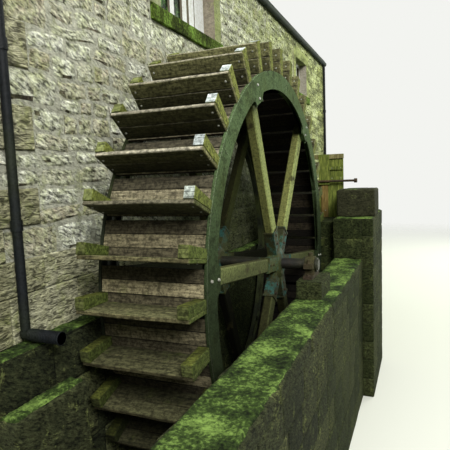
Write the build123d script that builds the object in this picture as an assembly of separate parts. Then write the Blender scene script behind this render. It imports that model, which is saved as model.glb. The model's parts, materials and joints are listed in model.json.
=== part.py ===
"""A stone watermill with its breastshot wheel, wheel pit and sluice.

The mill is a long rubble-stone building under a pitched slate roof. Its wheel turns in a
masonry pit along one long wall: two cast-iron rings on timber arms, thirty-six timber floats
on starts, and a boarded sole between the rings. Millimetres, +Z up. X points out of the wheel
wall, Y runs along it. The origin is at the centre of the footprint, on the pit floor.
"""
import os
from math import asin, cos, degrees, radians, sin, sqrt, tan

from build123d import *

# Wheel, measured from the axle; the outer ring's face is at x = 0
RING_R = 2150.0          # outer edge of the cast ring, which is also the foot of the floats
RING_DEPTH = 187.0       # radial depth of the ring's web
WHEEL_W = 990.0          # from the face of one ring to the face of the other
WEB_T = 25.0
FLANGE_T = 25.0
RING_BACK = 60.0         # depth of the casting behind its face
JOINT_GAP = 0.5          # between neighbouring castings of a ring
N_ARMS = 6
ARM_W = 145.0            # across the arm, in the wheel's plane
ARM_T = 100.0            # along the axle
ARM_CHAMFER = 12.0
ARM_ANGLE = 6.9          # first arm, above the horizontal on the near side
SHOE_REACH = 70.0        # how far the arm's shoe stands in from the ring
SHOE_HALF_W = 98.0
SHOE_FILLET = 75.0
N_FLOATS = 36
FLOAT_ANGLE = 0.66       # trailing face of the first float, above the horizontal
FLOAT_REACH = 290.0      # how far the floats stand out from the ring
START_OVER = 8.0         # start beyond the edge of the float
BOARD_T = 35.0
BOARD_GAP = 3.0          # between the inner and the outer board of one float
START_W = 90.0           # along the axle
START_TIP_T = 97.0
START_FOOT_T = 72.0
FLOAT_INSET = 5.0        # floats and starts stay this far inside the ring faces
SOLE_T = 30.0
SOLE_SLOT = 36.0         # open slot behind each float
SEAT = 0.3               # clearance where one timber or casting sits on another

# Hub and axle
AXLE_R = 62.5
HUB_BOSS_R = 175.0
HUB_BOSS_OVER = 30.0     # boss beyond the arm sockets, on both sides
SOCKET_R = 450.0
SOCKET_STEP = 5.0        # socket outside beyond the arm's faces
SOCKET_WALL = 20.0
SOCKET_LIP = 8.0
SOCKET_LIP_L = 22.0
COLLAR_R = 80.0
COLLAR_T = 20.0
RUN_FIT = 0.06           # radial clearance of the axle in its bearings
SIDE_GAP = 6.0           # between an axle collar and a bearing

# Bearings
BEARING_X = 305.0        # middle of the outer bearing
BEARING_W = 105.0
BEARING_H = 140.0        # axle centre above the bearing's foot
BEARING_R = 96.0
BEARING_FOOT_L = 360.0
BEARING_FOOT_T = 34.0
CAP_RISE = 12.0

# Heights above the pit floor
AXLE_Z = 2600.0
LEDGE_Z = 2480.0
COPING_Z = 2250.0
SILL_RACE_Z = 2820.0
PIER_WALL_Z = 2890.0
GROUND_FLOOR_Z = 2500.0
WINDOW_SILL_Z = 5550.0
WINDOW_H = 770.0
EAVES_ABOVE_HEAD = 520.0       # from a window's head to the top of the wall
WINDOW_HEAD_Z = WINDOW_SILL_Z + WINDOW_H
EAVES_Z = WINDOW_HEAD_Z + EAVES_ABOVE_HEAD
SILL_ABOVE_FLOOR = 900.0

# Mill building
LEDGE_OUT = 200.0        # stone ledge along the foot of the wheel wall
WHEEL_CLEAR = 60.0       # between the wheel and that ledge
WALL_X = -(WHEEL_W + WHEEL_CLEAR + LEDGE_OUT)     # outer face of the wheel wall
WALL_T = 550.0
MILL_DEPTH = 6000.0
MILL_NEAR_Y = -3200.0
MILL_FAR_Y = 9000.0
FLOOR_T = 200.0
ROOF_PITCH = 38.0
ROOF_T = 45.0
EAVES_OVER = 60.0
VERGE_OVER = 60.0
RIDGE_W = 260.0
RIDGE_T = 30.0

# Windows and door
WINDOW_W = 1500.0
FAR_WINDOW_W = 1050.0
WINDOW_Y = 340.0         # middle of the near window
FAR_WINDOW_Y = 6315.0
SILL_H = 185.0
SILL_OUT = 45.0
MARGIN_W = 225.0         # dressed stones at both sides of a window
MARGIN_OUT = 12.0
LINTEL_H = 230.0
REVEAL = 160.0           # frame set back from the wall's face
FRAME_D = 70.0
FRAME_W = 60.0
NEAR_BARS = ((-0.24, 0.070), (0.215, 0.083), (0.485, 0.100))     # place in the half width, share of the width
PLAIN_BARS = ((-0.33, 0.043), (0.33, 0.043))
NEAR_SIDE_SHARE = 0.192  # white boards at both sides of the near window, as a share of its width
GLASS_T = 8.0
DOOR_W = 1050.0
DOOR_H = 2050.0
DOOR_Y = 2900.0
DOOR_LEAF_T = 50.0
DOOR_GAP = 4.0

# Rainwater goods
GUTTER_W = 115.0
GUTTER_H = 88.0
GUTTER_T = 6.0
PIPE_R = 35.0
PIPE_T = 4.0
PIPE_OUT = 30.0          # gap between the pipe and the wall
SOCKET_PIPE_R = 43.0
SOCKET_PIPE_L = 80.0
PIPE_NEAR_Y = -2750.0
PIPE_FAR_Y = 8900.0
SHOE_L = 330.0
NEAR_SOCKETS = (3350.0, 4600.0, 5900.0)     # middles of the pipe sockets above the pit floor
FAR_SOCKETS = (3500.0, 5400.0)

# Wheel pit
PIT_NEAR_Y = -3300.0
PIT_FAR_Y = 4000.0
PIT_WALL_X = 170.0
PIT_WALL_T = 430.0
COPING_T = 150.0
COPING_OVER = 20.0
HIGH_WALL_Y = 2300.0
HIGH_WALL_T = 610.0
PIER_Y = (2600.0, 3300.0)
PIER_H = 450.0
BREAST_CLEAR = 42.0      # between the floats and the curved breast
BREAST_TOE = 80.0        # degrees below the horizontal where the breast ends
STEP_OUT = 200.0
STEP_FAR_Y = -2500.0
STEP_Z = 2150.0
PAD_HALF_L = 280.0
PAD_MARGIN = 60.0

# Sluice
SLUICE_Y = 3400.0
SLUICE_POST = 120.0
SLUICE_TOP_Z = 3950.0
RIGHT_POST_X = -160.0    # middle of the right-hand post
FACE_BOARD_W = 190.0     # board nailed over the upper part of that post
FACE_BOARD_H = 540.0
STEM_W = 90.0
STEM_T = 40.0
STEM_TOP_Z = 4080.0
STEM_GAP = 6.0
RAIL_H = 80.0
GATE_T = 50.0
GATE_H = 620.0
SIDE_BOARD_T = 40.0
BATTEN_W = 60.0
BATTEN_T = 30.0
BATTEN_DROPS = (200.0, 380.0)     # foot of each batten below the head rail
ROD_R = 20.0
ROD_Z = 3470.0
ROD_END_X = 420.0
ROD_START_X = -900.0
ROD_KNOB_R = 38.0
ROD_KNOB_L = 50.0


def block(x, y, z):
    """A rectangular solid between two values along each axis."""
    return Pos(x[0], y[0], z[0]) * Box(x[1] - x[0], y[1] - y[0], z[1] - z[0], align=(Align.MIN,) * 3)


def slab(outline, x_low, x_high):
    """An outline drawn in the wheel's plane (y, z), made solid between two places on the axle."""
    plane = Plane(origin=(x_low, 0, 0), x_dir=(0, 1, 0), z_dir=(1, 0, 0))
    return extrude(plane * outline, x_high - x_low, dir=(1, 0, 0))


def across(outline, y_low, y_high):
    """An outline drawn across the mill (x, z), made solid between two places along it."""
    plane = Plane(origin=(0, y_high, 0), x_dir=(1, 0, 0), z_dir=(0, -1, 0))
    return extrude(plane * outline, y_high - y_low, dir=(0, -1, 0))


def tube(x, radius):
    """A cylinder on the axle's line between two places."""
    return Pos(x[0], 0, 0) * Rot(0, 90, 0) * Cylinder(radius, x[1] - x[0], align=(Align.CENTER, Align.CENTER, Align.MIN))


def turned(solid, angle):
    """A solid drawn on the near horizontal (towards -Y), turned up to an angle round the axle."""
    return Rot(-angle, 0, 0) * solid


def inner_side(solid):
    """The same piece for the ring beside the wall."""
    return mirror(solid, Plane(origin=(-WHEEL_W / 2, 0, 0), z_dir=(1, 0, 0)))


def spread(solid, count, first):
    """Copies of one solid at equal angles round the axle."""
    return [turned(solid, first + i * 360 / count) for i in range(count)]


float_tip = RING_R + FLOAT_REACH
start_tip = float_tip + START_OVER
upper_floor_z = WINDOW_SILL_Z - SILL_ABOVE_FLOOR
ring_in = RING_R - RING_DEPTH
shoe_in = ring_in - SHOE_REACH
sole_low = RING_R * cos(radians(180 / N_FLOATS)) - SOLE_T      # under face of a sole panel
flange_out = sole_low - SEAT
flange_in = flange_out - FLANGE_T
arm_x = (-RING_BACK - ARM_T, -RING_BACK)
float_pitch = 360 / N_FLOATS


def wedge(half_angle):
    """A triangle from the axle out past the ring, centred on the near horizontal."""
    reach = RING_R * 1.3
    y, z = -reach * cos(radians(half_angle)), reach * sin(radians(half_angle))
    return Polygon((0, 0), (y, -z), (y, z), align=None)


def shoe_root(side):
    """The concave fillet between one side of an arm shoe and the ring's inner edge."""
    f = SHOE_FILLET
    centre_z = SHOE_HALF_W + f
    centre_y = -sqrt((ring_in - f) ** 2 - centre_z ** 2)
    onto = ring_in / (ring_in - f)
    root_y = -sqrt(ring_in ** 2 - SHOE_HALF_W ** 2)
    corners = [(centre_y, centre_z), (centre_y, SHOE_HALF_W - 1), (root_y - 20, SHOE_HALF_W - 1),
               (centre_y * onto - 20, centre_z * onto), (centre_y * onto, centre_z * onto)]
    corners = [(y, side * z) for y, z in corners][::-side]      # kept anticlockwise on both sides
    return Polygon(*corners, align=None) - Pos(centre_y, side * centre_z) * Circle(f)


def ring_segment():
    """One cast segment: web with a filleted arm shoe, sole flange, inner lip and end flanges."""
    half = 180 / N_ARMS - degrees(JOINT_GAP / 2 / RING_R)
    span = wedge(half)
    shoe_l = SHOE_REACH + 2 * WEB_T
    shoe = Pos(-(shoe_in + shoe_l / 2), 0) * RectangleRounded(shoe_l, 2 * SHOE_HALF_W, WEB_T)
    web = ((Circle(RING_R) - Circle(ring_in)) & span) + shoe + shoe_root(-1) + shoe_root(1)
    flange = Circle(flange_out) - Circle(flange_in)
    lip = Circle(ring_in + FLANGE_T) - Circle(ring_in + 1)
    end_flange = (Circle(flange_in + 1) - Circle(ring_in + 1)) - wedge(half - degrees(FLANGE_T / ring_in))
    pad = Pos(-(shoe_in + ring_in + FLANGE_T) / 2, 0) * Rectangle(SHOE_REACH + FLANGE_T, ARM_W)
    behind = ((flange + lip + end_flange) & span) + pad
    return slab(web, -WEB_T, 0) + slab(behind, -RING_BACK, -WEB_T)


def arm():
    """A timber arm with chamfered edges, shouldered down to a tenon that fits the hub's socket."""
    beam = block(arm_x, (-(flange_in - 2.5), -(SOCKET_R + SEAT)), (-ARM_W / 2, ARM_W / 2))
    beam = chamfer(beam.edges().filter_by(Axis.Y), ARM_CHAMFER)
    step = SOCKET_WALL - SOCKET_STEP
    return beam + block((arm_x[0] + step, arm_x[1] - step), (-SOCKET_R - 1, -HUB_BOSS_R - SEAT),
                        (-ARM_W / 2 + step, ARM_W / 2 - step))


def hub():
    """A cast boss with six lipped box sockets that take the arms' tenons."""
    low, high = arm_x[0] - SOCKET_STEP, arm_x[1] + SOCKET_STEP
    boss_low, boss_high = low - HUB_BOSS_OVER, high + HUB_BOSS_OVER
    collar = HUB_BOSS_R * 0.7
    profile = Polygon((boss_low, AXLE_R), (boss_high, AXLE_R), (boss_high, collar), (high, HUB_BOSS_R),
                      (low, HUB_BOSS_R), (boss_low, collar), align=None)
    body = revolve(Plane.XY * profile, Axis.X)
    half = ARM_W / 2 + SOCKET_STEP
    box = block((low, high), (-SOCKET_R, -AXLE_R - SOCKET_WALL), (-half, half))
    lip = block((low - SOCKET_LIP, high + SOCKET_LIP), (-SOCKET_R, -SOCKET_R + SOCKET_LIP_L),
                (-half - SOCKET_LIP, half + SOCKET_LIP))
    wall = SOCKET_WALL - SEAT
    mouth = block((low + wall, high - wall), (-SOCKET_R - 1, -HUB_BOSS_R), (-half + wall, half - wall))
    for socket in spread(box + lip, N_ARMS, ARM_ANGLE):
        body += socket
    for hole in spread(mouth, N_ARMS, ARM_ANGLE):
        body -= hole
    return body - tube((boss_low - 1, boss_high + 1), AXLE_R + SEAT)


def start():
    """One timber start, tapered to its foot, which is cut to sit on the ring's rim."""
    outline = Polygon((-start_tip, BOARD_T), (-RING_R + 60, BOARD_T), (-RING_R + 60, BOARD_T + START_FOOT_T),
                      (-start_tip, BOARD_T + START_TIP_T), align=None)
    solid = slab(outline, -FLOAT_INSET - START_W, -FLOAT_INSET)
    return solid - tube((-2 * START_W, START_W), RING_R + SEAT)


def float_board(r_low, r_high):
    """One board of a float, lying on the trailing face of its two starts."""
    return block((-WHEEL_W + FLOAT_INSET, -FLOAT_INSET), (-r_high, -r_low), (0, BOARD_T))


def sole_panel():
    """One flat bay of the sole, from behind one float to the foot of the next."""
    slot = degrees(SOLE_SLOT / RING_R)
    lap = 0.2
    low, high = radians(-lap), radians(float_pitch - lap - slot)
    inner = (sole_low + SEAT) / (RING_R * cos((high - low) / 2))
    points = [(-RING_R * cos(low), RING_R * sin(low)), (-RING_R * cos(high), RING_R * sin(high)),
              (-RING_R * inner * cos(high), RING_R * inner * sin(high)),
              (-RING_R * inner * cos(low), RING_R * inner * sin(low))]
    return slab(Polygon(*points, align=None), -WHEEL_W + WEB_T + SEAT, -WEB_T - SEAT)


def axle_line():
    """The wrought axle with a collar each side of both bearings."""
    inner_x = WALL_X - WALL_T / 2
    reach = BEARING_W / 2 + SIDE_GAP
    axle = tube((inner_x - reach - COLLAR_T - 60, BEARING_X + reach + COLLAR_T + 12), AXLE_R)
    for middle in (inner_x, BEARING_X):
        for side in (-1, 1):
            place = middle + side * (reach + COLLAR_T / 2)
            axle += tube((place - COLLAR_T / 2, place + COLLAR_T / 2), COLLAR_R)
    return axle


def bearing_outline():
    """A plummer block seen along the axle: a round housing on a long flat foot."""
    foot = Pos(0, -BEARING_H + BEARING_FOOT_T / 2) * Rectangle(BEARING_FOOT_L, BEARING_FOOT_T)
    neck = Pos(0, -BEARING_H / 2) * Rectangle(2 * BEARING_R - 20, BEARING_H)
    ears = Pos(0, 0) * Rectangle(2 * BEARING_R + 100, 56)
    return Circle(BEARING_R) + foot + neck + ears


def bearing_half(upper, middle):
    """The lower block or the cap of a split bearing, with its half bore."""
    span = (middle - BEARING_W / 2, middle + BEARING_W / 2)
    size = 2 * BEARING_FOOT_L
    low, high = (0, size) if upper else (-size, 0)
    body = slab(bearing_outline(), *span) & block((-size + middle, size + middle), (-size, size), (low, high))
    if upper:
        oiler = Pos(middle, 0, BEARING_R - 5) * Cylinder(26, CAP_RISE + 30, align=(Align.CENTER, Align.CENTER, Align.MIN))
        body += oiler
    return body - tube((span[0] - 1, span[1] + 1), AXLE_R + RUN_FIT)


def long_wall(x_out, x_in, holes):
    """A long wall whose top follows the roof, with rectangular openings cut through it."""
    low, high = min(x_out, x_in), max(x_out, x_in)
    outline = Polygon((x_out, 0), (x_in, 0), (x_in, wall_top), (x_out, EAVES_Z), align=None)
    wall = across(outline, MILL_NEAR_Y, MILL_FAR_Y)
    for hole_y, hole_z in holes:
        wall -= block((low - 1, high + 1), hole_y, hole_z)
    return wall


mill_x = (WALL_X - MILL_DEPTH, WALL_X)
inside_x = (mill_x[0] + WALL_T, mill_x[1] - WALL_T)
inside_y = (MILL_NEAR_Y + WALL_T, MILL_FAR_Y - WALL_T)
ridge_x = (mill_x[0] + mill_x[1]) / 2
rise = MILL_DEPTH / 2 * tan(radians(ROOF_PITCH))
wall_top = EAVES_Z + WALL_T * tan(radians(ROOF_PITCH))
gable_window_w = FAR_WINDOW_W
long_windows = ((WINDOW_Y, WINDOW_W), (FAR_WINDOW_Y, FAR_WINDOW_W))


def window_holes(windows):
    """Openings from the underside of the stone sill up to the head."""
    return [((y - w / 2, y + w / 2), (WINDOW_SILL_Z, WINDOW_HEAD_Z)) for y, w in windows]


def surround_pockets(windows, x):
    """The pockets in a wall's face that the dressed stones round the windows are built into."""
    return [block(x, (y - w / 2 - MARGIN_W, y + w / 2 + MARGIN_W), (WINDOW_SILL_Z - SILL_H, WINDOW_HEAD_Z + LINTEL_H))
            for y, w in windows]


def wheel_wall():
    """The long wall beside the wheel, with its windows and the axle's opening."""
    half = BEARING_FOOT_L / 2 + 20
    axle_hole = ((-half, half), (AXLE_Z - BEARING_H - SEAT, AXLE_Z + BEARING_R + 100))
    wall = long_wall(mill_x[1], inside_x[1], window_holes(long_windows) + [axle_hole])
    for pocket in surround_pockets(long_windows, (mill_x[1] - REVEAL, mill_x[1] + 1)):
        wall -= pocket
    return wall


def back_wall():
    """The long wall on the far side, with the same windows and a plank door below them."""
    door = ((DOOR_Y - DOOR_W / 2, DOOR_Y + DOOR_W / 2), (GROUND_FLOOR_Z, GROUND_FLOOR_Z + DOOR_H))
    wall = long_wall(mill_x[0], inside_x[0], window_holes(long_windows) + [door])
    for pocket in surround_pockets(long_windows, (mill_x[0] - 1, mill_x[0] + REVEAL)):
        wall -= pocket
    return wall


def gable(y_low, y_high, face_y):
    """An end wall up to the roof, between the two long walls, with one window in the middle."""
    low_x, high_x = inside_x
    outline = Polygon((low_x, 0), (high_x, 0), (high_x, wall_top), (ridge_x, EAVES_Z + rise), (low_x, wall_top),
                      align=None)
    wall = across(outline, y_low, y_high)
    half = gable_window_w / 2
    wall -= block((ridge_x - half, ridge_x + half), (y_low - 1, y_high + 1), (WINDOW_SILL_Z, WINDOW_HEAD_Z))
    near = face_y == y_low
    depth = (face_y - 1, face_y + REVEAL) if near else (face_y - REVEAL, face_y + 1)
    return wall - block((ridge_x - half - MARGIN_W, ridge_x + half + MARGIN_W), depth,
                        (WINDOW_SILL_Z - SILL_H, WINDOW_HEAD_Z + LINTEL_H))


def stone_sill(width):
    """A projecting stone sill with a sloped top edge, drawn for a wall facing +X at x = 0."""
    outline = Polygon((-REVEAL + SEAT, -SILL_H + SEAT), (SILL_OUT, -SILL_H + SEAT), (SILL_OUT, -20), (0, -SEAT),
                      (-REVEAL + SEAT, -SEAT), align=None)
    half = width / 2 + MARGIN_W - SEAT
    return across(outline, -half, half)


def window_margins(width):
    """Dressed jamb stones with a lintel across them, drawn as the sill is."""
    height = WINDOW_HEAD_Z - WINDOW_SILL_Z
    x = (-REVEAL + SEAT, MARGIN_OUT)
    half = width / 2
    jambs = [block(x, (side * half if side > 0 else -half - MARGIN_W + SEAT,
                       half + MARGIN_W - SEAT if side > 0 else -half), (0, height - SEAT)) for side in (-1, 1)]
    lintel = block(x, (-half - MARGIN_W + SEAT, half + MARGIN_W - SEAT), (height, height + LINTEL_H - SEAT))
    return jambs + [lintel]


def window_bars(width):
    """The low and high edge of each upright of a window frame, from one side to the other."""
    near = width == WINDOW_W
    side = NEAR_SIDE_SHARE * width if near else FRAME_W
    half = width / 2 - SEAT
    places = NEAR_BARS if near else PLAIN_BARS
    middle = [(place * half - share * width / 2, place * half + share * width / 2) for place, share in places]
    return [(-half, -half + side)] + middle + [(half - side, half)]


def window_frame(width):
    """A painted timber frame with its uprights, drawn for a wall facing +X at x = 0."""
    height = WINDOW_HEAD_Z - WINDOW_SILL_Z
    x = (-REVEAL - FRAME_D, -REVEAL)
    half = width / 2 - SEAT
    frame = block(x, (-half, half), (SEAT, height - SEAT))
    bars = window_bars(width)
    for left, right in zip(bars, bars[1:]):
        frame -= block((x[0] - 1, x[1] + 1), (left[1], right[0]), (FRAME_W, height - FRAME_W))
    return frame


def window_panes(width):
    """A pane in each light of the frame, drawn as the frame is."""
    height = WINDOW_HEAD_Z - WINDOW_SILL_Z
    middle = -REVEAL - FRAME_D / 2
    bars = window_bars(width)
    return [block((middle - GLASS_T / 2, middle + GLASS_T / 2), (left[1] + SEAT, right[0] - SEAT),
                  (FRAME_W + SEAT, height - FRAME_W - SEAT)) for left, right in zip(bars, bars[1:])]


def on_walls(make, windows, side):
    """Set a piece drawn for a wall facing +X into the windows of one side of the mill."""
    pieces = []
    for y, width in windows:
        made = make(width)
        for piece in made if isinstance(made, list) else [made]:
            if side == "wheel":
                pieces.append(Pos(mill_x[1], y, WINDOW_SILL_Z) * piece)
            elif side == "back":
                pieces.append(Pos(mill_x[0], y, WINDOW_SILL_Z) * Rot(0, 0, 180) * piece)
            elif side == "near":
                pieces.append(Pos(y, MILL_NEAR_Y, WINDOW_SILL_Z) * Rot(0, 0, -90) * piece)
            else:
                pieces.append(Pos(y, MILL_FAR_Y, WINDOW_SILL_Z) * Rot(0, 0, 90) * piece)
    return pieces


def all_windows(make):
    """The same piece in every window of the mill."""
    ends = ((ridge_x, gable_window_w),)
    sides = (("wheel", long_windows), ("back", long_windows), ("near", ends), ("far", ends))
    return [piece for side, windows in sides for piece in on_walls(make, windows, side)]


def roof_slope(toward_wheel):
    """One slope of the roof, as a slab of rafters, boards and slates."""
    t = radians(ROOF_PITCH)
    half = MILL_DEPTH / 2 + EAVES_OVER
    drop = half * tan(t)
    thick = ROOF_T / cos(t)
    base = EAVES_Z + rise + SEAT
    side = 1 if toward_wheel else -1
    outline = Polygon((ridge_x + side * SEAT, base), (ridge_x + side * half, base - drop),
                      (ridge_x + side * half, base - drop + thick), (ridge_x + side * SEAT, base + thick), align=None)
    return across(outline, MILL_NEAR_Y - VERGE_OVER, MILL_FAR_Y + VERGE_OVER)


def roof_ridge():
    """Angled ridge stones along the top of both slopes."""
    t = radians(ROOF_PITCH)
    top = EAVES_Z + rise + SEAT + ROOF_T / cos(t) + SEAT
    half = RIDGE_W / 2
    drop = half * tan(t)
    thick = RIDGE_T / cos(t)
    outline = Polygon((ridge_x, top), (ridge_x + half, top - drop), (ridge_x + half, top - drop + thick),
                      (ridge_x, top + thick), (ridge_x - half, top - drop + thick), (ridge_x - half, top - drop),
                      align=None)
    return across(outline, MILL_NEAR_Y - VERGE_OVER, MILL_FAR_Y + VERGE_OVER)


gutter_top = EAVES_Z - EAVES_OVER * tan(radians(ROOF_PITCH)) - 5


def gutter(side):
    """A moulded gutter: a flat back, a rounded belly and an open top, with closed ends."""
    wall_face = mill_x[1] if side > 0 else mill_x[0]
    radius = GUTTER_W / 2

    def outline(inset):
        turn = -GUTTER_H + radius
        belly = (Pos(0, turn) * Circle(radius - inset)) & (Pos(0, turn - radius) * Rectangle(2 * radius, 2 * radius))
        return belly + Pos(0, (turn + inset) / 2) * Rectangle(2 * (radius - inset), inset - turn)

    place = Pos(wall_face + side * (SEAT + radius), gutter_top)
    ends = (MILL_NEAR_Y - VERGE_OVER, MILL_FAR_Y + VERGE_OVER)
    shell = across(place * outline(0), *ends)
    return shell - across(place * outline(GUTTER_T), ends[0] + GUTTER_T, ends[1] - GUTTER_T)


pipe_x = WALL_X + PIPE_OUT + PIPE_R


def pipe_stack(y, z_low, z_high, sockets):
    """A vertical rainwater pipe with its wider sockets."""
    stack = Pos(pipe_x, y, z_low) * Cylinder(PIPE_R, z_high - z_low, align=(Align.CENTER, Align.CENTER, Align.MIN))
    for z in sockets:
        stack += Pos(pipe_x, y, z) * Cylinder(SOCKET_PIPE_R, SOCKET_PIPE_L)
        stack += block((WALL_X + SEAT, pipe_x), (y - 14, y + 14), (z - 14, z + 14))
    return stack


def near_pipe():
    """The near pipe, which turns out over the ledge at its foot."""
    bend_z = LEDGE_Z + 75
    stack = pipe_stack(PIPE_NEAR_Y, bend_z, gutter_top - GUTTER_H - SEAT, NEAR_SOCKETS)
    stack += Pos(pipe_x, PIPE_NEAR_Y, bend_z) * Sphere(SOCKET_PIPE_R)
    run = Rot(0, 90, 0) * Cylinder(SOCKET_PIPE_R, SHOE_L, align=(Align.CENTER, Align.CENTER, Align.MIN))
    return stack + Pos(pipe_x, PIPE_NEAR_Y, bend_z) * run


def outer_pit_wall():
    """The pit's outer wall: low beside the wheel, higher past it."""
    low = block((PIT_WALL_X, PIT_WALL_X + PIT_WALL_T), (PIT_NEAR_Y, HIGH_WALL_Y), (0, COPING_Z - COPING_T))
    high = block((PIT_WALL_X, PIT_WALL_X + HIGH_WALL_T), (HIGH_WALL_Y, PIT_FAR_Y), (0, PIER_WALL_Z))
    return low + high


def breast():
    """The curved breast that follows the floats round the far side, up to the sluice's sill."""
    radius = start_tip + BREAST_CLEAR
    toe, top = radians(BREAST_TOE), asin((SILL_RACE_Z - AXLE_Z) / radius)
    toe_y, toe_z = radius * cos(toe), AXLE_Z - radius * sin(toe)
    lip_y = radius * cos(top)
    outline = Polygon((toe_y, 0), (PIT_FAR_Y, 0), (PIT_FAR_Y, SILL_RACE_Z), (lip_y, SILL_RACE_Z),
                      (toe_y, toe_z), align=None)
    outline = outline - Pos(0, AXLE_Z) * Circle(radius)
    return slab(outline, WALL_X + LEDGE_OUT, PIT_WALL_X)


channel_x = (WALL_X + LEDGE_OUT, PIT_WALL_X)
post_y = (SLUICE_Y - SLUICE_POST / 2, SLUICE_Y + SLUICE_POST / 2)
left_post_x = (channel_x[0], channel_x[0] + SLUICE_POST)
right_post_x = (RIGHT_POST_X - SLUICE_POST / 2, RIGHT_POST_X + SLUICE_POST / 2)
rail_z = (SLUICE_TOP_Z - RAIL_H, SLUICE_TOP_Z)


def sluice_side_boards():
    """Boards that close the channel beside the right-hand post, and one nailed over its face."""
    y = (post_y[0] + BATTEN_T, post_y[0] + BATTEN_T + SIDE_BOARD_T)
    side = block((right_post_x[1], channel_x[1]), y, (SILL_RACE_Z, rail_z[0]))
    half = FACE_BOARD_W / 2
    face = block((RIGHT_POST_X - half, RIGHT_POST_X + half), (post_y[0] - BATTEN_T, post_y[0] - SEAT),
                 (rail_z[1] - FACE_BOARD_H, rail_z[1]))
    return [side, face]


def gate_stem():
    """The plank that lifts the gate, fixed to its near face."""
    middle = (left_post_x[1] + right_post_x[0]) / 2
    y = (SLUICE_Y - GATE_T / 2 - STEM_T, SLUICE_Y - GATE_T / 2)
    return block((middle - STEM_W / 2, middle + STEM_W / 2), y, (SILL_RACE_Z + GATE_H / 4, STEM_TOP_Z))


def head_rail():
    """The rail across both posts, with a slot for the gate's stem."""
    middle = (left_post_x[1] + right_post_x[0]) / 2
    half = STEM_W / 2 + STEM_GAP
    y = (SLUICE_Y - GATE_T / 2 - STEM_T - STEM_GAP, SLUICE_Y - GATE_T / 2 + STEM_GAP)
    return block(channel_x, post_y, rail_z) - block((middle - half, middle + half), y, (rail_z[0] - 1, rail_z[1] + 1))


def sluice_battens():
    """Two battens across the face of the side boards."""
    face = post_y[0] + BATTEN_T
    x = (RIGHT_POST_X + FACE_BOARD_W / 2, channel_x[1])
    return [block(x, (face - BATTEN_T, face), (z, z + BATTEN_W)) for z in (rail_z[0] - drop for drop in BATTEN_DROPS)]


def sluice_rod():
    """The iron bar in front of the sluice, with a knob at its outer end."""
    y = post_y[0] - BATTEN_T - ROD_R
    rod = Pos(0, y, ROD_Z) * tube((ROD_START_X, ROD_END_X), ROD_R)
    knob = Pos(0, y, ROD_Z) * tube((ROD_END_X - ROD_KNOB_L, ROD_END_X), ROD_KNOB_R)
    return rod + knob


def door_frame():
    """A timber door frame in the back wall."""
    x = (mill_x[0] + REVEAL, mill_x[0] + REVEAL + FRAME_D)
    y = (DOOR_Y - DOOR_W / 2 + SEAT, DOOR_Y + DOOR_W / 2 - SEAT)
    z = (GROUND_FLOOR_Z, GROUND_FLOOR_Z + DOOR_H - SEAT)
    return block(x, y, z) - block((x[0] - 1, x[1] + 1), (y[0] + FRAME_W, y[1] - FRAME_W), (z[0] - 1, z[1] - FRAME_W))


def door_leaf():
    """The closed plank door."""
    x = mill_x[0] + REVEAL + (FRAME_D - DOOR_LEAF_T) / 2
    half = DOOR_W / 2 - SEAT - FRAME_W - SEAT
    return block((x, x + DOOR_LEAF_T), (DOOR_Y - half, DOOR_Y + half),
                 (GROUND_FLOOR_Z + SEAT, GROUND_FLOOR_Z + DOOR_H - FRAME_W - 2 * SEAT))


at_axle = Pos(0, 0, AXLE_Z)
ring = spread(ring_segment(), N_ARMS, ARM_ANGLE)
arms = spread(arm(), N_ARMS, ARM_ANGLE)
one_hub = hub()
one_start = start()
board_split = (RING_R + SEAT + float_tip) / 2
wheel = {
    "outer_ring": ring,
    "inner_ring": [inner_side(piece) for piece in ring],
    "outer_arms": arms,
    "inner_arms": [inner_side(piece) for piece in arms],
    "outer_hub": [one_hub],
    "inner_hub": [inner_side(one_hub)],
    "axle": [axle_line()],
    "sole_boards": spread(sole_panel(), N_FLOATS, FLOAT_ANGLE),
    "outer_starts": spread(one_start, N_FLOATS, FLOAT_ANGLE),
    "inner_starts": spread(inner_side(one_start), N_FLOATS, FLOAT_ANGLE),
    "float_boards_inner": spread(float_board(RING_R + SEAT, board_split - BOARD_GAP / 2), N_FLOATS, FLOAT_ANGLE),
    "float_boards_outer": spread(float_board(board_split + BOARD_GAP / 2, float_tip), N_FLOATS, FLOAT_ANGLE),
}
bearings = {
    "bearing_block": [bearing_half(False, BEARING_X)],
    "bearing_cap": [bearing_half(True, BEARING_X)],
    "wall_bearing_block": [bearing_half(False, WALL_X - WALL_T / 2)],
    "wall_bearing_cap": [bearing_half(True, WALL_X - WALL_T / 2)],
}
mill = {
    "wheel_wall": [wheel_wall()],
    "back_wall": [back_wall()],
    "near_gable": [gable(MILL_NEAR_Y, inside_y[0], MILL_NEAR_Y)],
    "far_gable": [gable(inside_y[1], MILL_FAR_Y, MILL_FAR_Y)],
    "ground_floor": [block(inside_x, inside_y, (GROUND_FLOOR_Z - FLOOR_T, GROUND_FLOOR_Z))],
    "upper_floor": [block(inside_x, inside_y, (upper_floor_z - FLOOR_T, upper_floor_z))],
    "roof_slope_wheel_side": [roof_slope(True)],
    "roof_slope_back": [roof_slope(False)],
    "roof_ridge": [roof_ridge()],
    "gutter_wheel_side": [gutter(1)],
    "gutter_back": [gutter(-1)],
    "downpipe_near": [near_pipe()],
    "downpipe_far": [pipe_stack(PIPE_FAR_Y, LEDGE_Z, gutter_top - GUTTER_H - SEAT, FAR_SOCKETS)],
    "window_sills": all_windows(stone_sill),
    "window_margins": all_windows(window_margins),
    "window_frames": all_windows(window_frame),
    "window_glass": all_windows(window_panes),
    "door_frame": [door_frame()],
    "door_leaf": [door_leaf()],
}
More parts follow.
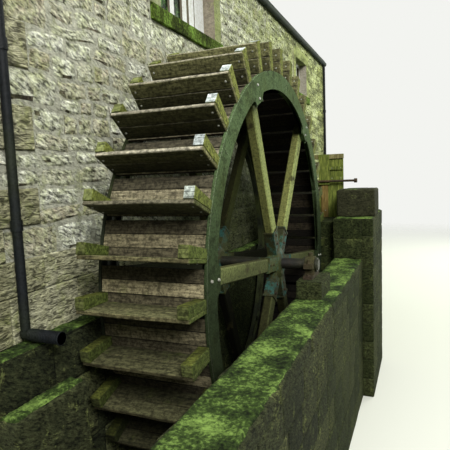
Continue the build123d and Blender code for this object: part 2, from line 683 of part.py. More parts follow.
pit = {
    "wall_ledge": [block((WALL_X, channel_x[0]), (MILL_NEAR_Y, PIT_FAR_Y), (0, LEDGE_Z))],
    "race_step": [block((channel_x[0], channel_x[0] + STEP_OUT), (MILL_NEAR_Y, STEP_FAR_Y), (0, STEP_Z))],
    "outer_pit_wall": [outer_pit_wall()],
    "pit_coping": [block((PIT_WALL_X - COPING_OVER, PIT_WALL_X + PIT_WALL_T + COPING_OVER),
                         (PIT_NEAR_Y, HIGH_WALL_Y), (COPING_Z - COPING_T, COPING_Z))],
    "pier_block": [block((PIT_WALL_X, PIT_WALL_X + HIGH_WALL_T), PIER_Y, (PIER_WALL_Z, PIER_WALL_Z + PIER_H))],
    "breast_wall": [breast()],
    "bearing_stone": [block((BEARING_X - BEARING_W / 2 - PAD_MARGIN, BEARING_X + BEARING_W / 2 + 2 * PAD_MARGIN),
                            (-PAD_HALF_L, PAD_HALF_L), (COPING_Z, AXLE_Z - BEARING_H))],
    "sluice_posts": [block(x, post_y, (SILL_RACE_Z, rail_z[0])) for x in (left_post_x, right_post_x)],
    "sluice_head_rail": [head_rail()],
    "gate_leaf": [block((left_post_x[1], right_post_x[0]), (SLUICE_Y - GATE_T / 2, SLUICE_Y + GATE_T / 2),
                        (SILL_RACE_Z, SILL_RACE_Z + GATE_H))],
    "gate_stem": [gate_stem()],
    "sluice_boards": sluice_side_boards(),
    "sluice_battens": sluice_battens(),
    "sluice_rod": [sluice_rod()],
}

nodes = {name: [at_axle * piece for piece in pieces] for name, pieces in {**wheel, **bearings}.items()}
nodes.update(mill)
nodes.update(pit)

boxes = [piece.bounding_box() for pieces in nodes.values() for piece in pieces]
low = [min(tuple(box.min)[i] for box in boxes) for i in range(3)]
high = [max(tuple(box.max)[i] for box in boxes) for i in range(3)]
shift = Pos(-(low[0] + high[0]) / 2, -(low[1] + high[1]) / 2, -low[2])
print("axle from the origin", [round(v, 3) for v in (shift * at_axle).position])
print("whole size", [round(h - l, 3) for l, h in zip(low, high)])

os.makedirs("parts", exist_ok=True)
for name, pieces in nodes.items():
    placed = [shift * piece for piece in pieces]
    export_step(Compound(children=placed), f"parts/{name}.step")
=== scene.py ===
# %% [markdown]
# # A stone watermill and its wheel
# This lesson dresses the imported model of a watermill: rubble walls, a slate roof and a wheel with
# cast-iron rings and timber floats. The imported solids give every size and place. Here they get
# their stones, slates, boards, bolts and finishes.

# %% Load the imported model
import json
import math
import random

import bmesh
import bpy
from mathutils import Matrix, Vector, noise


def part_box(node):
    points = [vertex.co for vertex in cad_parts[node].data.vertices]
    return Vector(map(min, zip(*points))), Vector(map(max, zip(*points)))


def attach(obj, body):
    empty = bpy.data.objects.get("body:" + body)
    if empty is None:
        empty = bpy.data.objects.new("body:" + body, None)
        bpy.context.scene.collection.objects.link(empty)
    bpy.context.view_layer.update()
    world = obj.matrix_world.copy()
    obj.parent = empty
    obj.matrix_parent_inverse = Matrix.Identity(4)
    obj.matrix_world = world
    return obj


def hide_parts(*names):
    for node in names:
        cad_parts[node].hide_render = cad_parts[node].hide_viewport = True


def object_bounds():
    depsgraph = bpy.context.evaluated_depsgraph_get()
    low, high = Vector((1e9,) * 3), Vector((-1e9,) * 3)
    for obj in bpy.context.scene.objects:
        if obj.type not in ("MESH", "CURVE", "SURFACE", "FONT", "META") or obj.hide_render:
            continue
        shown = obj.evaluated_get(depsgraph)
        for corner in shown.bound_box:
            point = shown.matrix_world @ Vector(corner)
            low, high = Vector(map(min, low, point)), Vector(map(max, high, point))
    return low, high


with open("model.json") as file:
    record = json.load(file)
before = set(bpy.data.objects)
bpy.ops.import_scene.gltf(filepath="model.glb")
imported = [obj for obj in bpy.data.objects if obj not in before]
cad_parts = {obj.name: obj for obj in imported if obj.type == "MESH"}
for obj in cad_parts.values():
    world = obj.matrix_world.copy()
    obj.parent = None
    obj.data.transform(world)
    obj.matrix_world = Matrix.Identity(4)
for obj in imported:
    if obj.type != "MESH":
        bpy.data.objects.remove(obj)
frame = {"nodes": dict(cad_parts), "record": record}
cad_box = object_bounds()
axle_low, axle_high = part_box("axle")
ring_low, ring_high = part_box("outer_ring")
wall_low, wall_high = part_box("wheel_wall")
HUB = Vector((ring_high[0], (axle_low[1] + axle_high[1]) / 2, (axle_low[2] + axle_high[2]) / 2))
RIM = (ring_high[1] - ring_low[1]) / 2
SEED = 1848              # of the draws and of the noise, so that every run builds the same mill
rng = random.Random(SEED)
noise.seed_set(SEED)
print("axle at", [round(v, 4) for v in HUB], "rim radius", round(RIM, 3))

# %% [markdown]
# ## The camera
# The view is the photograph's: an eye about a metre above the axle and a step out from the wheel,
# looking along the wall and a little down. The wheel is so close that a wide lens is needed.

# %% Camera
FRAME_PX, SENSOR = 450, 36.0             # width of the picture in pixels and of the sensor in mm
LENS_PX = 468.6                          # focal length in pixels
EYE = Vector((1.471, -5.231, 1.050))     # metres from the wheel's middle, on its outer face
YAW, TILT, ROLL = 22.91, -6.07, -2.23    # degrees

lens = bpy.data.cameras.new("eye")
camera = bpy.data.objects.new("eye", lens)
bpy.context.collection.objects.link(camera)
lens.sensor_fit = "HORIZONTAL"
lens.sensor_width = SENSOR
lens.lens = LENS_PX / FRAME_PX * SENSOR
lens.clip_end = 200
turn = Matrix.Rotation(math.radians(YAW), 4, "Z") @ Matrix.Rotation(math.radians(90 + TILT), 4, "X")
camera.matrix_world = Matrix.Translation(HUB + EYE) @ turn @ Matrix.Rotation(math.radians(ROLL), 4, "Z")
bpy.context.scene.camera = camera
print("lens", round(lens.lens, 2), "mm")


# %% [markdown]
# ## Node helpers
# Every material is built from nodes that read Object coordinates, so a pattern stays on its piece
# when the wheel turns. One function adds a node with its settings and links, and one turns the
# sRGB hex value of a colour chart into the linear colour that the renderer works in.

# %% Node helpers
def srgb(code):
    """The linear colour of an sRGB hex value."""
    parts = [int(code[i:i + 2], 16) / 255 for i in (1, 3, 5)]
    return [p / 12.92 if p <= 0.04045 else ((p + 0.055) / 1.055) ** 2.4 for p in parts] + [1.0]


def feed(material, socket, value):
    """Link a socket to an input, or set the input to a number or to an sRGB colour."""
    if isinstance(value, bpy.types.NodeSocket):
        material.node_tree.links.new(value, socket)
    else:
        socket.default_value = srgb(value) if isinstance(value, str) else value


def add(material, kind, links=(), stops=None, out=0, **settings):
    """Add a node with its settings, links and ramp stops, and give one of its outputs.

    The links are a dict by input, or a list that goes to the first inputs in their order: to
    "Math" its two numbers, and to "MapRange" the value, the range that it comes from and the
    range that it goes to, which is 0 to 1 where the list ends before it.
    """
    node = material.node_tree.nodes.new("ShaderNode" + kind)
    for name, value in settings.items():
        setattr(node, name, value)
    if stops:
        ramp = node.color_ramp
        while len(ramp.elements) < len(stops):
            ramp.elements.new(0.5)
        for element, (place, colour) in zip(ramp.elements, stops):
            element.position = place
            element.color = srgb(colour) if isinstance(colour, str) else [colour] * 3 + [1.0]
    for name, value in links.items() if isinstance(links, dict) else enumerate(links):
        feed(material, node.inputs[name], value)
    return node.outputs[out]


def new_material(name):
    """An empty material with its object coordinates and its object-space normal."""
    material = bpy.data.materials.new(name)
    material.use_nodes = True
    place = material.node_tree.nodes.new("ShaderNodeTexCoord")
    return material, place.outputs["Object"], place.outputs["Normal"]


def finish(material, colour, roughness, height=None, depth=0.002, shine=0.12):
    """Wire a colour, a roughness and a bump height of a depth in metres into the shader."""
    shader = material.node_tree.nodes["Principled BSDF"]
    shader.inputs["Specular IOR Level"].default_value = shine
    wires = {"Base Color": colour, "Roughness": roughness}
    if height is not None:
        wires["Normal"] = add(material, "Bump", {"Height": height, "Distance": depth, "Strength": 1.0})
    for name, value in wires.items():
        feed(material, shader.inputs[name], value)
    return material


# The settings of a node that lays one colour over another. Its input 0 is the share of the upper
# colour, 6 and 7 are the lower and the upper one, and output 2 is the result. The second set
# multiplies the two, so a number below 1 darkens and one above 1 brightens.
MIX = {"out": 2, "data_type": "RGBA"}
TIMES = {**MIX, "blend_type": "MULTIPLY"}


# %% [markdown]
# ## Stone
# Old sandstone laid in lime has three colours at once: the stone's own grey-brown, pale lime
# smeared over it, and lichen. Each stone keeps a tone of its own in a face attribute, which moves
# it along a ramp from brown to pale grey. Large soft noise then lays lime and lichen across the
# joints, and flat slanting chips of about 50 mm and less roughen the face as a hammer leaves it.

# %% Sandstone, lime mortar and moss
def sandstone(name, stops, lichen=0.5, damp_and_shade=0.5, lime=0.5, tooled=False, flecks=0.8, dapple=0.2, grit=19.0):
    """Weathered sandstone. Tooled stone has chisel lines along it, rubble a hammered face.

    Lichen, damp with painted shade, lime and flecks are shares of 0 to 1. Dapple is how much more lichen and
    dappled light the far end has, and grit is how many chips there are to a metre.
    """
    m, place, _ = new_material(name)
    outward, across, height = [add(m, "SeparateXYZ", {"Vector": place}, out=axis) for axis in range(3)]
    tone = add(m, "Attribute", attribute_name="tone", out=2)
    broad = add(m, "TexNoise", {"Vector": place, "Scale": 1.7, "Detail": 7.0, "Roughness": 0.7})
    lumps = add(m, "TexNoise", {"Vector": place, "Scale": 14.0, "Detail": 4.0, "Roughness": 0.65})
    turned = add(m, "Mapping", {"Vector": place, "Rotation": (0.45, 0.0, 0.0)})
    flat = add(m, "Mapping", {"Vector": turned, "Scale": (1.0, 0.6, 1.8)})
    chips = add(m, "TexNoise", {"Vector": flat, "Scale": grit, "Detail": 5.0, "Roughness": 0.82,
                                "Distortion": 0.3})
    # A stone's own tone and its lumps of 70 mm choose its colour.
    own = add(m, "Math", [tone, 0.62, -0.2], operation="MULTIPLY_ADD")
    shade = add(m, "Math", [lumps, 0.9, own], operation="MULTIPLY_ADD", use_clamp=True)
    colour = add(m, "ValToRGB", {"Fac": shade}, stops=stops)
    lime_at = add(m, "MapRange", [broad, 0.47, 0.66, 0.0, lime])
    colour = add(m, "Mix", {0: lime_at, 6: colour, 7: "#CFCEC0"}, **MIX)
    # Lichen grows in rosettes of 150 mm, and more of it towards the far end.
    spots = add(m, "TexNoise", {"Vector": place, "Scale": 6.5, "Detail": 8.0, "Roughness": 0.8,
                                "Distortion": 0.6})
    far = add(m, "MapRange", [across, -3.2, 3.6, 0.0, dapple])
    grown = add(m, "Math", [spots, far], operation="ADD")
    lichen_at = add(m, "MapRange", [grown, 0.58 - 0.2 * lichen, 0.70, 0.0, 0.8])
    colour = add(m, "Mix", {0: lichen_at, 6: colour, 7: "#929B5C"}, **MIX)
    # Damp and painted shade darken the wall below a ragged edge 4 to 6 m up. They stay behind the
    # wheel, whose shade falls there, and on the wheel's side.
    ragged = add(m, "Math", [broad, 1.6, height], operation="MULTIPLY_ADD")
    low = add(m, "MapRange", [ragged, 5.9, 4.2, 0.0, damp_and_shade])
    for along, start, end, first, last in ((across, -4.4, -3.0, 0.16, 1.0), (across, 0.2, 1.8, 1.0, 0.3),
                                           (outward, 0.0, 1.5, 0.3, 1.0)):
        share = add(m, "MapRange", [along, start, end, first, last])
        low = add(m, "Math", [low, share], operation="MULTIPLY")
    colour = add(m, "Mix", {0: low, 6: colour, 7: "#2C3517"}, **MIX)
    # Dappled light in long drifts, then the chips' lit and shaded sides.
    long = add(m, "Mapping", {"Vector": place, "Scale": (2.0, 1.3, 5.0)})
    drifts = add(m, "TexNoise", {"Vector": long, "Scale": 1.0, "Detail": 6.0, "Roughness": 0.65})
    drift = add(m, "MapRange", [drifts, 0.42, 0.58, -1.5, 3.5])
    drift = add(m, "Math", [drift, far, 1.0], operation="MULTIPLY_ADD")
    relief = ((0.41, -0.85), (0.465, -0.25), (0.53, 0.12), (0.60, 0.8))
    fleck = add(m, "ValToRGB", {"Fac": chips}, stops=[(at, 1.0 + flecks * share) for at, share in relief])
    # The sides of a stone that do not face up carry a tone below 0. They are painted dark as the
    # shade in the joint, except where lime fills the joint.
    filled = add(m, "MapRange", [broad, 0.42, 0.58, 0.2, 0.8])
    rim = add(m, "MapRange", [tone, -0.6, -0.1])
    joint_shade = add(m, "Mix", {0: rim, 2: filled, 3: 1.0})
    factors = [drift, fleck, joint_shade]
    hills = add(m, "Math", [lumps, 0.4, chips], operation="MULTIPLY_ADD")
    if tooled:
        comb = add(m, "Mapping", {"Vector": place, "Scale": (10.0, 10.0, 38.0)})
        lines = add(m, "TexNoise", {"Vector": comb, "Scale": 1.0, "Detail": 2.0, "Roughness": 0.6,
                                    "Distortion": 1.2})
        factors.append(add(m, "ValToRGB", {"Fac": lines},
                           stops=[(0.38, 0.3), (0.47, 0.88), (0.54, 1.08), (0.63, 1.5)]))
        hills = add(m, "Math", [lines, 1.2, hills], operation="MULTIPLY_ADD")
    for factor in factors:
        colour = add(m, "Mix", {0: 1.0, 6: colour, 7: factor}, **TIMES)
    return finish(m, colour, 0.92, hills, 0.02)


def moss(name, stops):
    """A mat of moss: soft clumps of about 30 mm with light tips and dark hollows."""
    m, place, _ = new_material(name)
    clump = add(m, "TexNoise", {"Vector": place, "Scale": 34.0, "Detail": 6.0, "Roughness": 0.7})
    drift = add(m, "TexNoise", {"Vector": place, "Scale": 4.0, "Detail": 4.0})
    mixed = add(m, "Math", [clump, drift], operation="ADD")
    half = add(m, "Math", [mixed, 0.5], operation="MULTIPLY")
    colour = add(m, "ValToRGB", {"Fac": half}, stops=stops)
    return finish(m, colour, 1.0, clump, 0.012)


RUBBLE = [(0.16, "#ABA08E"), (0.34, "#BBB8A3"), (0.6, "#CBCDBA"), (0.85, "#E5E6DB")]
BROWN = [(0.1, "#767459"), (0.4, "#999779"), (0.8, "#B8B69C")]
DARK = [(0.1, "#11140C"), (0.4, "#282C1C"), (0.8, "#474A31")]
LIME = [(0.1, "#B0B09F"), (0.4, "#BFC0B0"), (0.8, "#D2D3C5")]
GREEN = [(0.1, "#838963"), (0.45, "#9BA279"), (0.8, "#AEB28F")]
# The pier's pitted stone: its own brown-grey, painted much darker as the shade of the trees.
PITTED_SHADED = [(0.15, "#12140B"), (0.45, "#222317"), (0.8, "#343326")]
RIDGE = [(0.1, "#5A5546"), (0.4, "#7C7766"), (0.8, "#9B9786")]
REVEAL = [(0.1, "#7F7567"), (0.4, "#958C7C"), (0.8, "#A9A294")]
rubble = sandstone("hammered_sandstone", RUBBLE, 0.8, 0.92, 0.4, flecks=1.0, dapple=0.25, grit=21.0)
quoin = sandstone("tooled_sandstone", BROWN, lichen=0.35, damp_and_shade=0.9, lime=0.2, tooled=True, flecks=0.3)
margin_stone = sandstone("green_margin_stone", GREEN, lichen=0.9, damp_and_shade=0.0, lime=0.2, flecks=0.4)
reveal_stone = sandstone("brown_reveal_stone", REVEAL, lichen=0.0, damp_and_shade=0.0, lime=0.1, flecks=0.3, dapple=0.0)
damp_stone = sandstone("damp_sandstone", DARK, lichen=0.1, lime=0.0, flecks=1.0, dapple=0.0, grit=30.0)
shaded_pitted_stone = sandstone("shaded_pitted_sandstone", PITTED_SHADED, 0.0, 0.2, 0.0, flecks=0.65, dapple=0.0, grit=20.0)
damp_mortar = sandstone("damp_lime_mortar", DARK, lime=0.1, dapple=0.0)
mortar = sandstone("lime_mortar", LIME, lichen=0.25, damp_and_shade=0.92, lime=0.6, flecks=0.5, dapple=0.25, grit=28.0)
rubble_ridge = sandstone("ridge_sandstone", RIDGE, lichen=0.6, damp_and_shade=0.0, lime=0.0, flecks=0.5)
wet_moss = moss("deep_moss", [(0.40, "#131A0C"), (0.5, "#35461F"), (0.62, "#7C984C")])
sill_moss = moss("bright_moss", [(0.40, "#1A2009"), (0.5, "#46551F"), (0.59, "#7DA046")])
print("stone finishes:", len(bpy.data.materials))


# %% [markdown]
# ## Timber
# Oak that has stood in the wet for years loses its brown and turns silver and green. The grain runs
# along the board, so its noise of 140 mm is squeezed nine times across it, to streaks of 16 mm. On
# the wheel the light is partly painted into the colour and follows the board round: faces near the
# top are painted lighter, the faces that trail behind are darker, partly as painted shade, and faces
# that look in towards the axle are painted nearly black. The outer edges are bleached, and painted
# paler high on the wheel than low on it.

# %% Wet oak of the wheel
def wheel_oak(name, leading, trailing, edge, low_edge, end, inside=(-0.4, -0.8)):
    """Oak of the floats, starts and sole, coloured by which way a face looks on the wheel.

    The colours are those of a board's leading and trailing face, the trailing one darker partly as
    painted shade, of its outer edge high and low on the wheel, the low one partly painted shade, and of
    its end. Faces that look in towards the axle by more than inside are painted dark as shade.
    """
    m, place, normal = new_material(name)
    tone = add(m, "Attribute", attribute_name="tone", out=2)
    spoke = add(m, "Mapping", {"Vector": place, "Location": (0, -HUB.y, -HUB.z), "Scale": (0, 1, 1)})
    radial = add(m, "VectorMath", [spoke], operation="NORMALIZE")
    lead = add(m, "VectorMath", [radial, (1, 0, 0)], operation="CROSS_PRODUCT")
    ahead = add(m, "VectorMath", [normal, lead], operation="DOT_PRODUCT", out=1)
    outward = add(m, "VectorMath", [normal, radial], operation="DOT_PRODUCT", out=1)
    grain_place = add(m, "Mapping", {"Vector": place, "Scale": (1.0, 9.0, 9.0)})
    grain = add(m, "TexNoise", {"Vector": grain_place, "Scale": 7.0, "Detail": 7.0, "Roughness": 0.7})
    patch = add(m, "TexNoise", {"Vector": place, "Scale": 5.0, "Detail": 6.0, "Roughness": 0.7})
    litter = add(m, "TexNoise", {"Vector": place, "Scale": 30.0, "Detail": 4.0, "Roughness": 0.75})
    height = add(m, "SeparateXYZ", {"Vector": place}, out=2)
    high_lit = add(m, "MapRange", [height, 3.25, 3.8])
    # Trailing faces take the darker colour: partly the wet oak's own and partly painted shade.
    front = add(m, "MapRange", [ahead, -0.5, 0.5])
    colour = add(m, "Mix", {0: front, 6: trailing, 7: leading}, **MIX)
    # Painted light: boards near the top catch the sky. Painted shade: every board is darker towards
    # its foot, by the sole.
    sky_lit = add(m, "MapRange", [height, 4.1, 4.8, 1.0, 2.4])
    radius = add(m, "VectorMath", [spoke], operation="LENGTH", out=1)
    outer = add(m, "MapRange", [radius, 2.17, 2.42, 0.45, 1.05])
    for factor in (sky_lit, outer):
        colour = add(m, "Mix", {0: 1.0, 6: colour, 7: factor}, **TIMES)
    # Inner faces get painted near-black shade. Outer edges and ends get their own colours, painted
    # paler high on the wheel and darker low on it, the low ends also green with algae, and then moss.
    inner_shade = add(m, "MapRange", [outward, inside[0], inside[1]])
    colour = add(m, "Mix", {0: inner_shade, 6: colour, 7: "#28231A"}, **MIX)
    tip = add(m, "MapRange", [outward, 0.6, 0.85])
    tip_colour = add(m, "Mix", {0: high_lit, 6: low_edge, 7: edge}, **MIX)
    colour = add(m, "Mix", {0: tip, 6: colour, 7: tip_colour}, **MIX)
    side = add(m, "SeparateXYZ", {"Vector": normal}, out=0)
    flank = add(m, "MapRange", [side, 0.5, 0.8])
    end_algae_and_shade = add(m, "Mix", {0: high_lit, 6: "#4C5628", 7: end}, **MIX)
    colour = add(m, "Mix", {0: flank, 6: colour, 7: end_algae_and_shade}, **MIX)
    mossy = add(m, "MapRange", [patch, 0.56, 0.8])
    mossy = add(m, "Math", [mossy, front], operation="MULTIPLY")
    colour = add(m, "Mix", {0: mossy, 6: colour, 7: "#4B5A1E"}, **MIX)
    # Grain, the board's own tone, which on the sole also carries the painted shadow of each float,
    # specks of 30 mm, and painted shade that darkens the wheel low in the pit.
    streak = add(m, "ValToRGB", {"Fac": grain}, stops=[(0.34, 0.35), (0.5, 0.95), (0.66, 1.5)])
    own = add(m, "MapRange", [tone, 0.0, 1.0, 0.2, 1.3])
    specks = add(m, "MapRange", [litter, 0.40, 0.58, 0.45, 1.25])
    height_shade = add(m, "MapRange", [height, 1.5, 2.7, 0.22])
    for factor in (streak, own, specks, height_shade):
        colour = add(m, "Mix", {0: 1.0, 6: colour, 7: factor}, **TIMES)
    hills = add(m, "Math", [grain, litter], operation="ADD")
    return finish(m, colour, 0.85, hills, 0.006)


def oak(name, stops, stretch, green=0.3, rough=0.8):
    """Weathered timber of the fixed pieces, with its grain along the axis of least stretch."""
    m, place, _ = new_material(name)
    grain_place = add(m, "Mapping", {"Vector": place, "Scale": stretch})
    grain = add(m, "TexNoise", {"Vector": grain_place, "Scale": 7.0, "Detail": 7.0, "Roughness": 0.7})
    patch = add(m, "TexNoise", {"Vector": place, "Scale": 6.0, "Detail": 6.0, "Roughness": 0.7})
    colour = add(m, "ValToRGB", {"Fac": grain}, stops=stops)
    mossy = add(m, "MapRange", [patch, 0.66 - 0.2 * green, 0.8])
    colour = add(m, "Mix", {0: mossy, 6: colour, 7: "#5F7028"}, **MIX)
    return finish(m, colour, rough, grain, 0.006)


float_oak = wheel_oak("wet_oak_float", "#6A694A", "#4A4931", "#A49E8C", "#5F5A40", "#76744F")
start_oak = wheel_oak("wet_oak_start", "#5E642C", "#50562A", "#C6CFD0", "#5B6138", "#777D3E")
inner_start_oak = wheel_oak("shaded_oak_start", "#5E642C", "#50562A", "#858C58", "#5B6138", "#777D3E")
sole_oak = wheel_oak("wet_oak_sole", "#8A8265", "#7C745A", "#9C947C", "#847C62", "#8A8265", (0.5, 0.1))


# %% Arms of the wheel
def arm_oak(name, front, flank_green):
    """Oak of the arms: silvery olive in front, yellow-green where the light grazes them.

    Painted shade makes it darkest low on the wheel and darker again under the rim; it is palest
    about the axle.
    """
    m, place, normal = new_material(name)
    grain = add(m, "TexNoise", {"Vector": place, "Scale": 38.0, "Detail": 6.0, "Roughness": 0.75})
    patch = add(m, "TexNoise", {"Vector": place, "Scale": 6.0, "Detail": 7.0, "Roughness": 0.7})
    side = add(m, "SeparateXYZ", {"Vector": normal}, out=0)
    flank = add(m, "MapRange", [side, 0.3, 0.85])
    colour = add(m, "Mix", {0: flank, 6: front, 7: flank_green}, **MIX)
    tint = add(m, "ValToRGB", {"Fac": grain}, stops=[(0.34, 0.35), (0.5, 0.95), (0.66, 1.4)])
    colour = add(m, "Mix", {0: 1.0, 6: colour, 7: tint}, **TIMES)
    height = add(m, "SeparateXYZ", {"Vector": place}, out=2)
    rise = add(m, "MapRange", [height, 2.0, 5.0])
    height_shade = add(m, "ValToRGB", {"Fac": rise},
                 stops=[(0.1, 0.15), (0.25, 0.24), (0.36, 0.9), (0.62, 0.9), (0.8, 0.5)])
    colour = add(m, "Mix", {0: 1.0, 6: colour, 7: height_shade}, **TIMES)
    stain = add(m, "MapRange", [patch, 0.58, 0.68])
    colour = add(m, "Mix", {0: stain, 6: colour, 7: "#33301C"}, **MIX)
    return finish(m, colour, 0.85, grain, 0.005)


# %% [markdown]
# ## Iron and paint
# The rings are cast iron under old green paint that has gone chalky, with drifts of algae and
# pale rubbed edges that carry a painted highlight, and painted darker towards the foot as shade.
# The hubs keep only flakes of a blue-green coat over dark rust. The axle is bare and greasy.

# %% Cast iron finishes
def painted_iron(name, paint, under, worn, rough=0.65, flake=(0.5, 0.62), shine=0.15, lip=0.0, foot=1.0):
    """Paint over iron, worn off in patches of about 110 mm and mottled by specks of 17 mm.

    Worn is the share of algae, flake the noise levels between which the paint is gone, lip the
    share of pale rubbed edges with a painted highlight, and foot the brightness that painted shade
    leaves low on the wheel.
    """
    m, place, normal = new_material(name)
    patch = add(m, "TexNoise", {"Vector": place, "Scale": 9.0, "Detail": 9.0, "Roughness": 0.75})
    fine = add(m, "TexNoise", {"Vector": place, "Scale": 60.0, "Detail": 5.0, "Roughness": 0.7})
    gone = add(m, "MapRange", [patch, flake[0], flake[1]])
    colour = add(m, "Mix", {0: gone, 6: paint, 7: under}, **MIX)
    drift = add(m, "TexNoise", {"Vector": place, "Scale": 2.5, "Detail": 5.0})
    algae = add(m, "MapRange", [drift, 0.45, 0.7, 0.0, worn])
    colour = add(m, "Mix", {0: algae, 6: colour, 7: "#4A5326"}, **MIX)
    # Pale rubbed edges on the rounded rims: partly bare metal, partly a painted highlight.
    if lip:
        across = add(m, "SeparateXYZ", {"Vector": normal}, out=0)
        turned = add(m, "MapRange", [across, 0.35, 0.5])
        flat = add(m, "MapRange", [across, 0.95, 0.85])
        rubbed_edge_and_highlight = turned
        for share in (flat, lip):
            rubbed_edge_and_highlight = add(m, "Math", [rubbed_edge_and_highlight, share], operation="MULTIPLY")
        colour = add(m, "Mix", {0: rubbed_edge_and_highlight, 6: colour, 7: "#BFC6B0"}, **MIX)
    # Painted shade: darker low on the wheel, where the pit shades it.
    if foot < 1.0:
        rise = add(m, "SeparateXYZ", {"Vector": place}, out=2)
        rise = add(m, "MapRange", [rise, 1.0, 5.0])
        height_shade = add(m, "ValToRGB", {"Fac": rise},
                     stops=[(0.2, foot), (0.4, 1.7 * foot), (0.55, 0.45), (0.72, 0.95)])
        colour = add(m, "Mix", {0: 1.0, 6: colour, 7: height_shade}, **TIMES)
    mottle = add(m, "ValToRGB", {"Fac": fine}, stops=[(0.34, 0.45), (0.5, 1.0), (0.66, 1.4)])
    colour = add(m, "Mix", {0: 1.0, 6: colour, 7: mottle}, **TIMES)
    hills = add(m, "Math", [patch, fine], operation="ADD")
    return finish(m, colour, rough, hills, 0.003, shine)


ring_paint = painted_iron("chalky_green_paint", "#556846", "#3C482F", 0.4, rough=0.9, shine=0.05, lip=1.0,
                          foot=0.12)
# The inner ring, inside the wheel, takes a copy of the ring paint painted dark as shade.
dark_ring_paint = painted_iron("shaded_green_paint", "#23281C", "#14150E", 0.5)
hub_paint = painted_iron("flaking_teal_paint", "#2B4F49", "#2D2E1B", 0.5, flake=(0.42, 0.50))
greasy_iron = painted_iron("greasy_iron", "#171614", "#26201A", 0.15, rough=0.45, shine=0.4)
bearing_iron = painted_iron("rusted_bearing_iron", "#3A3026", "#231D18", 0.3, rough=0.75)
bolt_iron = painted_iron("zinc_bolt", "#9B9C92", "#5E5B50", 0.15, rough=0.5, shine=0.5)
pipe_black = painted_iron("black_pipe", "#15181B", "#0D0F10", 0.12, rough=0.45, shine=0.12)
gutter_paint = painted_iron("dark_green_gutter", "#1A261E", "#121A15", 0.3, rough=0.6, shine=0.08)
rusted_rod = painted_iron("rusted_rod", "#3B3428", "#5A4632", 0.2, rough=0.8)
UPRIGHT, ALONG_WALL = (6.0, 6.0, 0.8), (8.0, 0.8, 8.0)     # how a grain's noise is squeezed each way
plain_oak = oak("weathered_oak", [(0.3, "#4A452E"), (0.5, "#77704A"), (0.7, "#9A9468")], UPRIGHT, 0.5)
orange_oak = oak("rain_washed_oak", [(0.3, "#4A3E20"), (0.5, "#786538"), (0.7, "#968050")], UPRIGHT, 0.2)
board_oak = oak("mossy_boards", [(0.3, "#333A1C"), (0.5, "#626C30"), (0.7, "#8E9549")], UPRIGHT, 0.8)
floor_deal = oak("floor_deal", [(0.3, "#5C4A30"), (0.5, "#8A7350"), (0.7, "#A78F68")], ALONG_WALL, 0.0)
door_paint = oak("green_door_paint", [(0.3, "#2A3527"), (0.5, "#3A4835"), (0.7, "#4E5B46")],
                 UPRIGHT, 0.1, 0.6)
arm_finish = arm_oak("mossy_oak_arm", "#6E7040", "#96A062")
dark_arm_finish = arm_oak("shaded_oak_arm", "#23240F", "#2F3414")

# %% Glass, white paint, slate
def window_paint():
    """White linseed paint on softwood, grey where the wet stands."""
    m, place, normal = new_material("white_linseed_paint")
    fine = add(m, "TexNoise", {"Vector": place, "Scale": 30.0, "Detail": 6.0, "Roughness": 0.7})
    colour = add(m, "ValToRGB", {"Fac": fine}, stops=[(0.25, "#8E8A7E"), (0.4, "#D3D4D0"), (0.6, "#E6E9EA")])
    # Faces that look towards the near end are painted brown-grey as shade.
    aside = add(m, "SeparateXYZ", {"Vector": normal}, out=1)
    aside = add(m, "MapRange", [aside, -0.5, -0.8])
    colour = add(m, "Mix", {0: aside, 6: colour, 7: "#6E6556"}, **MIX)
    return finish(m, colour, 0.55, fine, 0.002, 0.4)


def old_glass():
    """Dirty crown glass over a dark room, which is painted on as near black, with painted reflections of
    green leaves and a slow ripple.
    """
    m, place, _ = new_material("old_crown_glass")
    painted_reflection = add(m, "TexNoise", {"Vector": place, "Scale": 9.0, "Detail": 7.0, "Roughness": 0.75})
    colour = add(m, "ValToRGB", {"Fac": painted_reflection},
                 stops=[(0.42, "#0A1206"), (0.54, "#1E3A14"), (0.64, "#5C8838")])
    ripple = add(m, "TexNoise", {"Vector": place, "Scale": 6.0, "Detail": 1.0})
    return finish(m, colour, 0.12, ripple, 0.004, 0.12)


def slate():
    """Riven grey-green slate, each one a tone of its own, with lichen rosettes."""
    m, place, _ = new_material("riven_slate")
    tone = add(m, "Attribute", attribute_name="tone", out=2)
    fine = add(m, "TexNoise", {"Vector": place, "Scale": 22.0, "Detail": 7.0, "Roughness": 0.7})
    mixed = add(m, "Math", [tone, fine], operation="ADD")
    half = add(m, "Math", [mixed, 0.5], operation="MULTIPLY")
    colour = add(m, "ValToRGB", {"Fac": half}, stops=[(0.2, "#42464A"), (0.5, "#555A58"), (0.8, "#6B6E66")])
    spots = add(m, "TexNoise", {"Vector": place, "Scale": 5.0, "Detail": 8.0, "Roughness": 0.75})
    mossy = add(m, "MapRange", [spots, 0.58, 0.66])
    colour = add(m, "Mix", {0: mossy, 6: colour, 7: "#5E6A36"}, **MIX)
    return finish(m, colour, 0.6, fine, 0.004)


white_paint, crown_glass, roof_slate = window_paint(), old_glass(), slate()

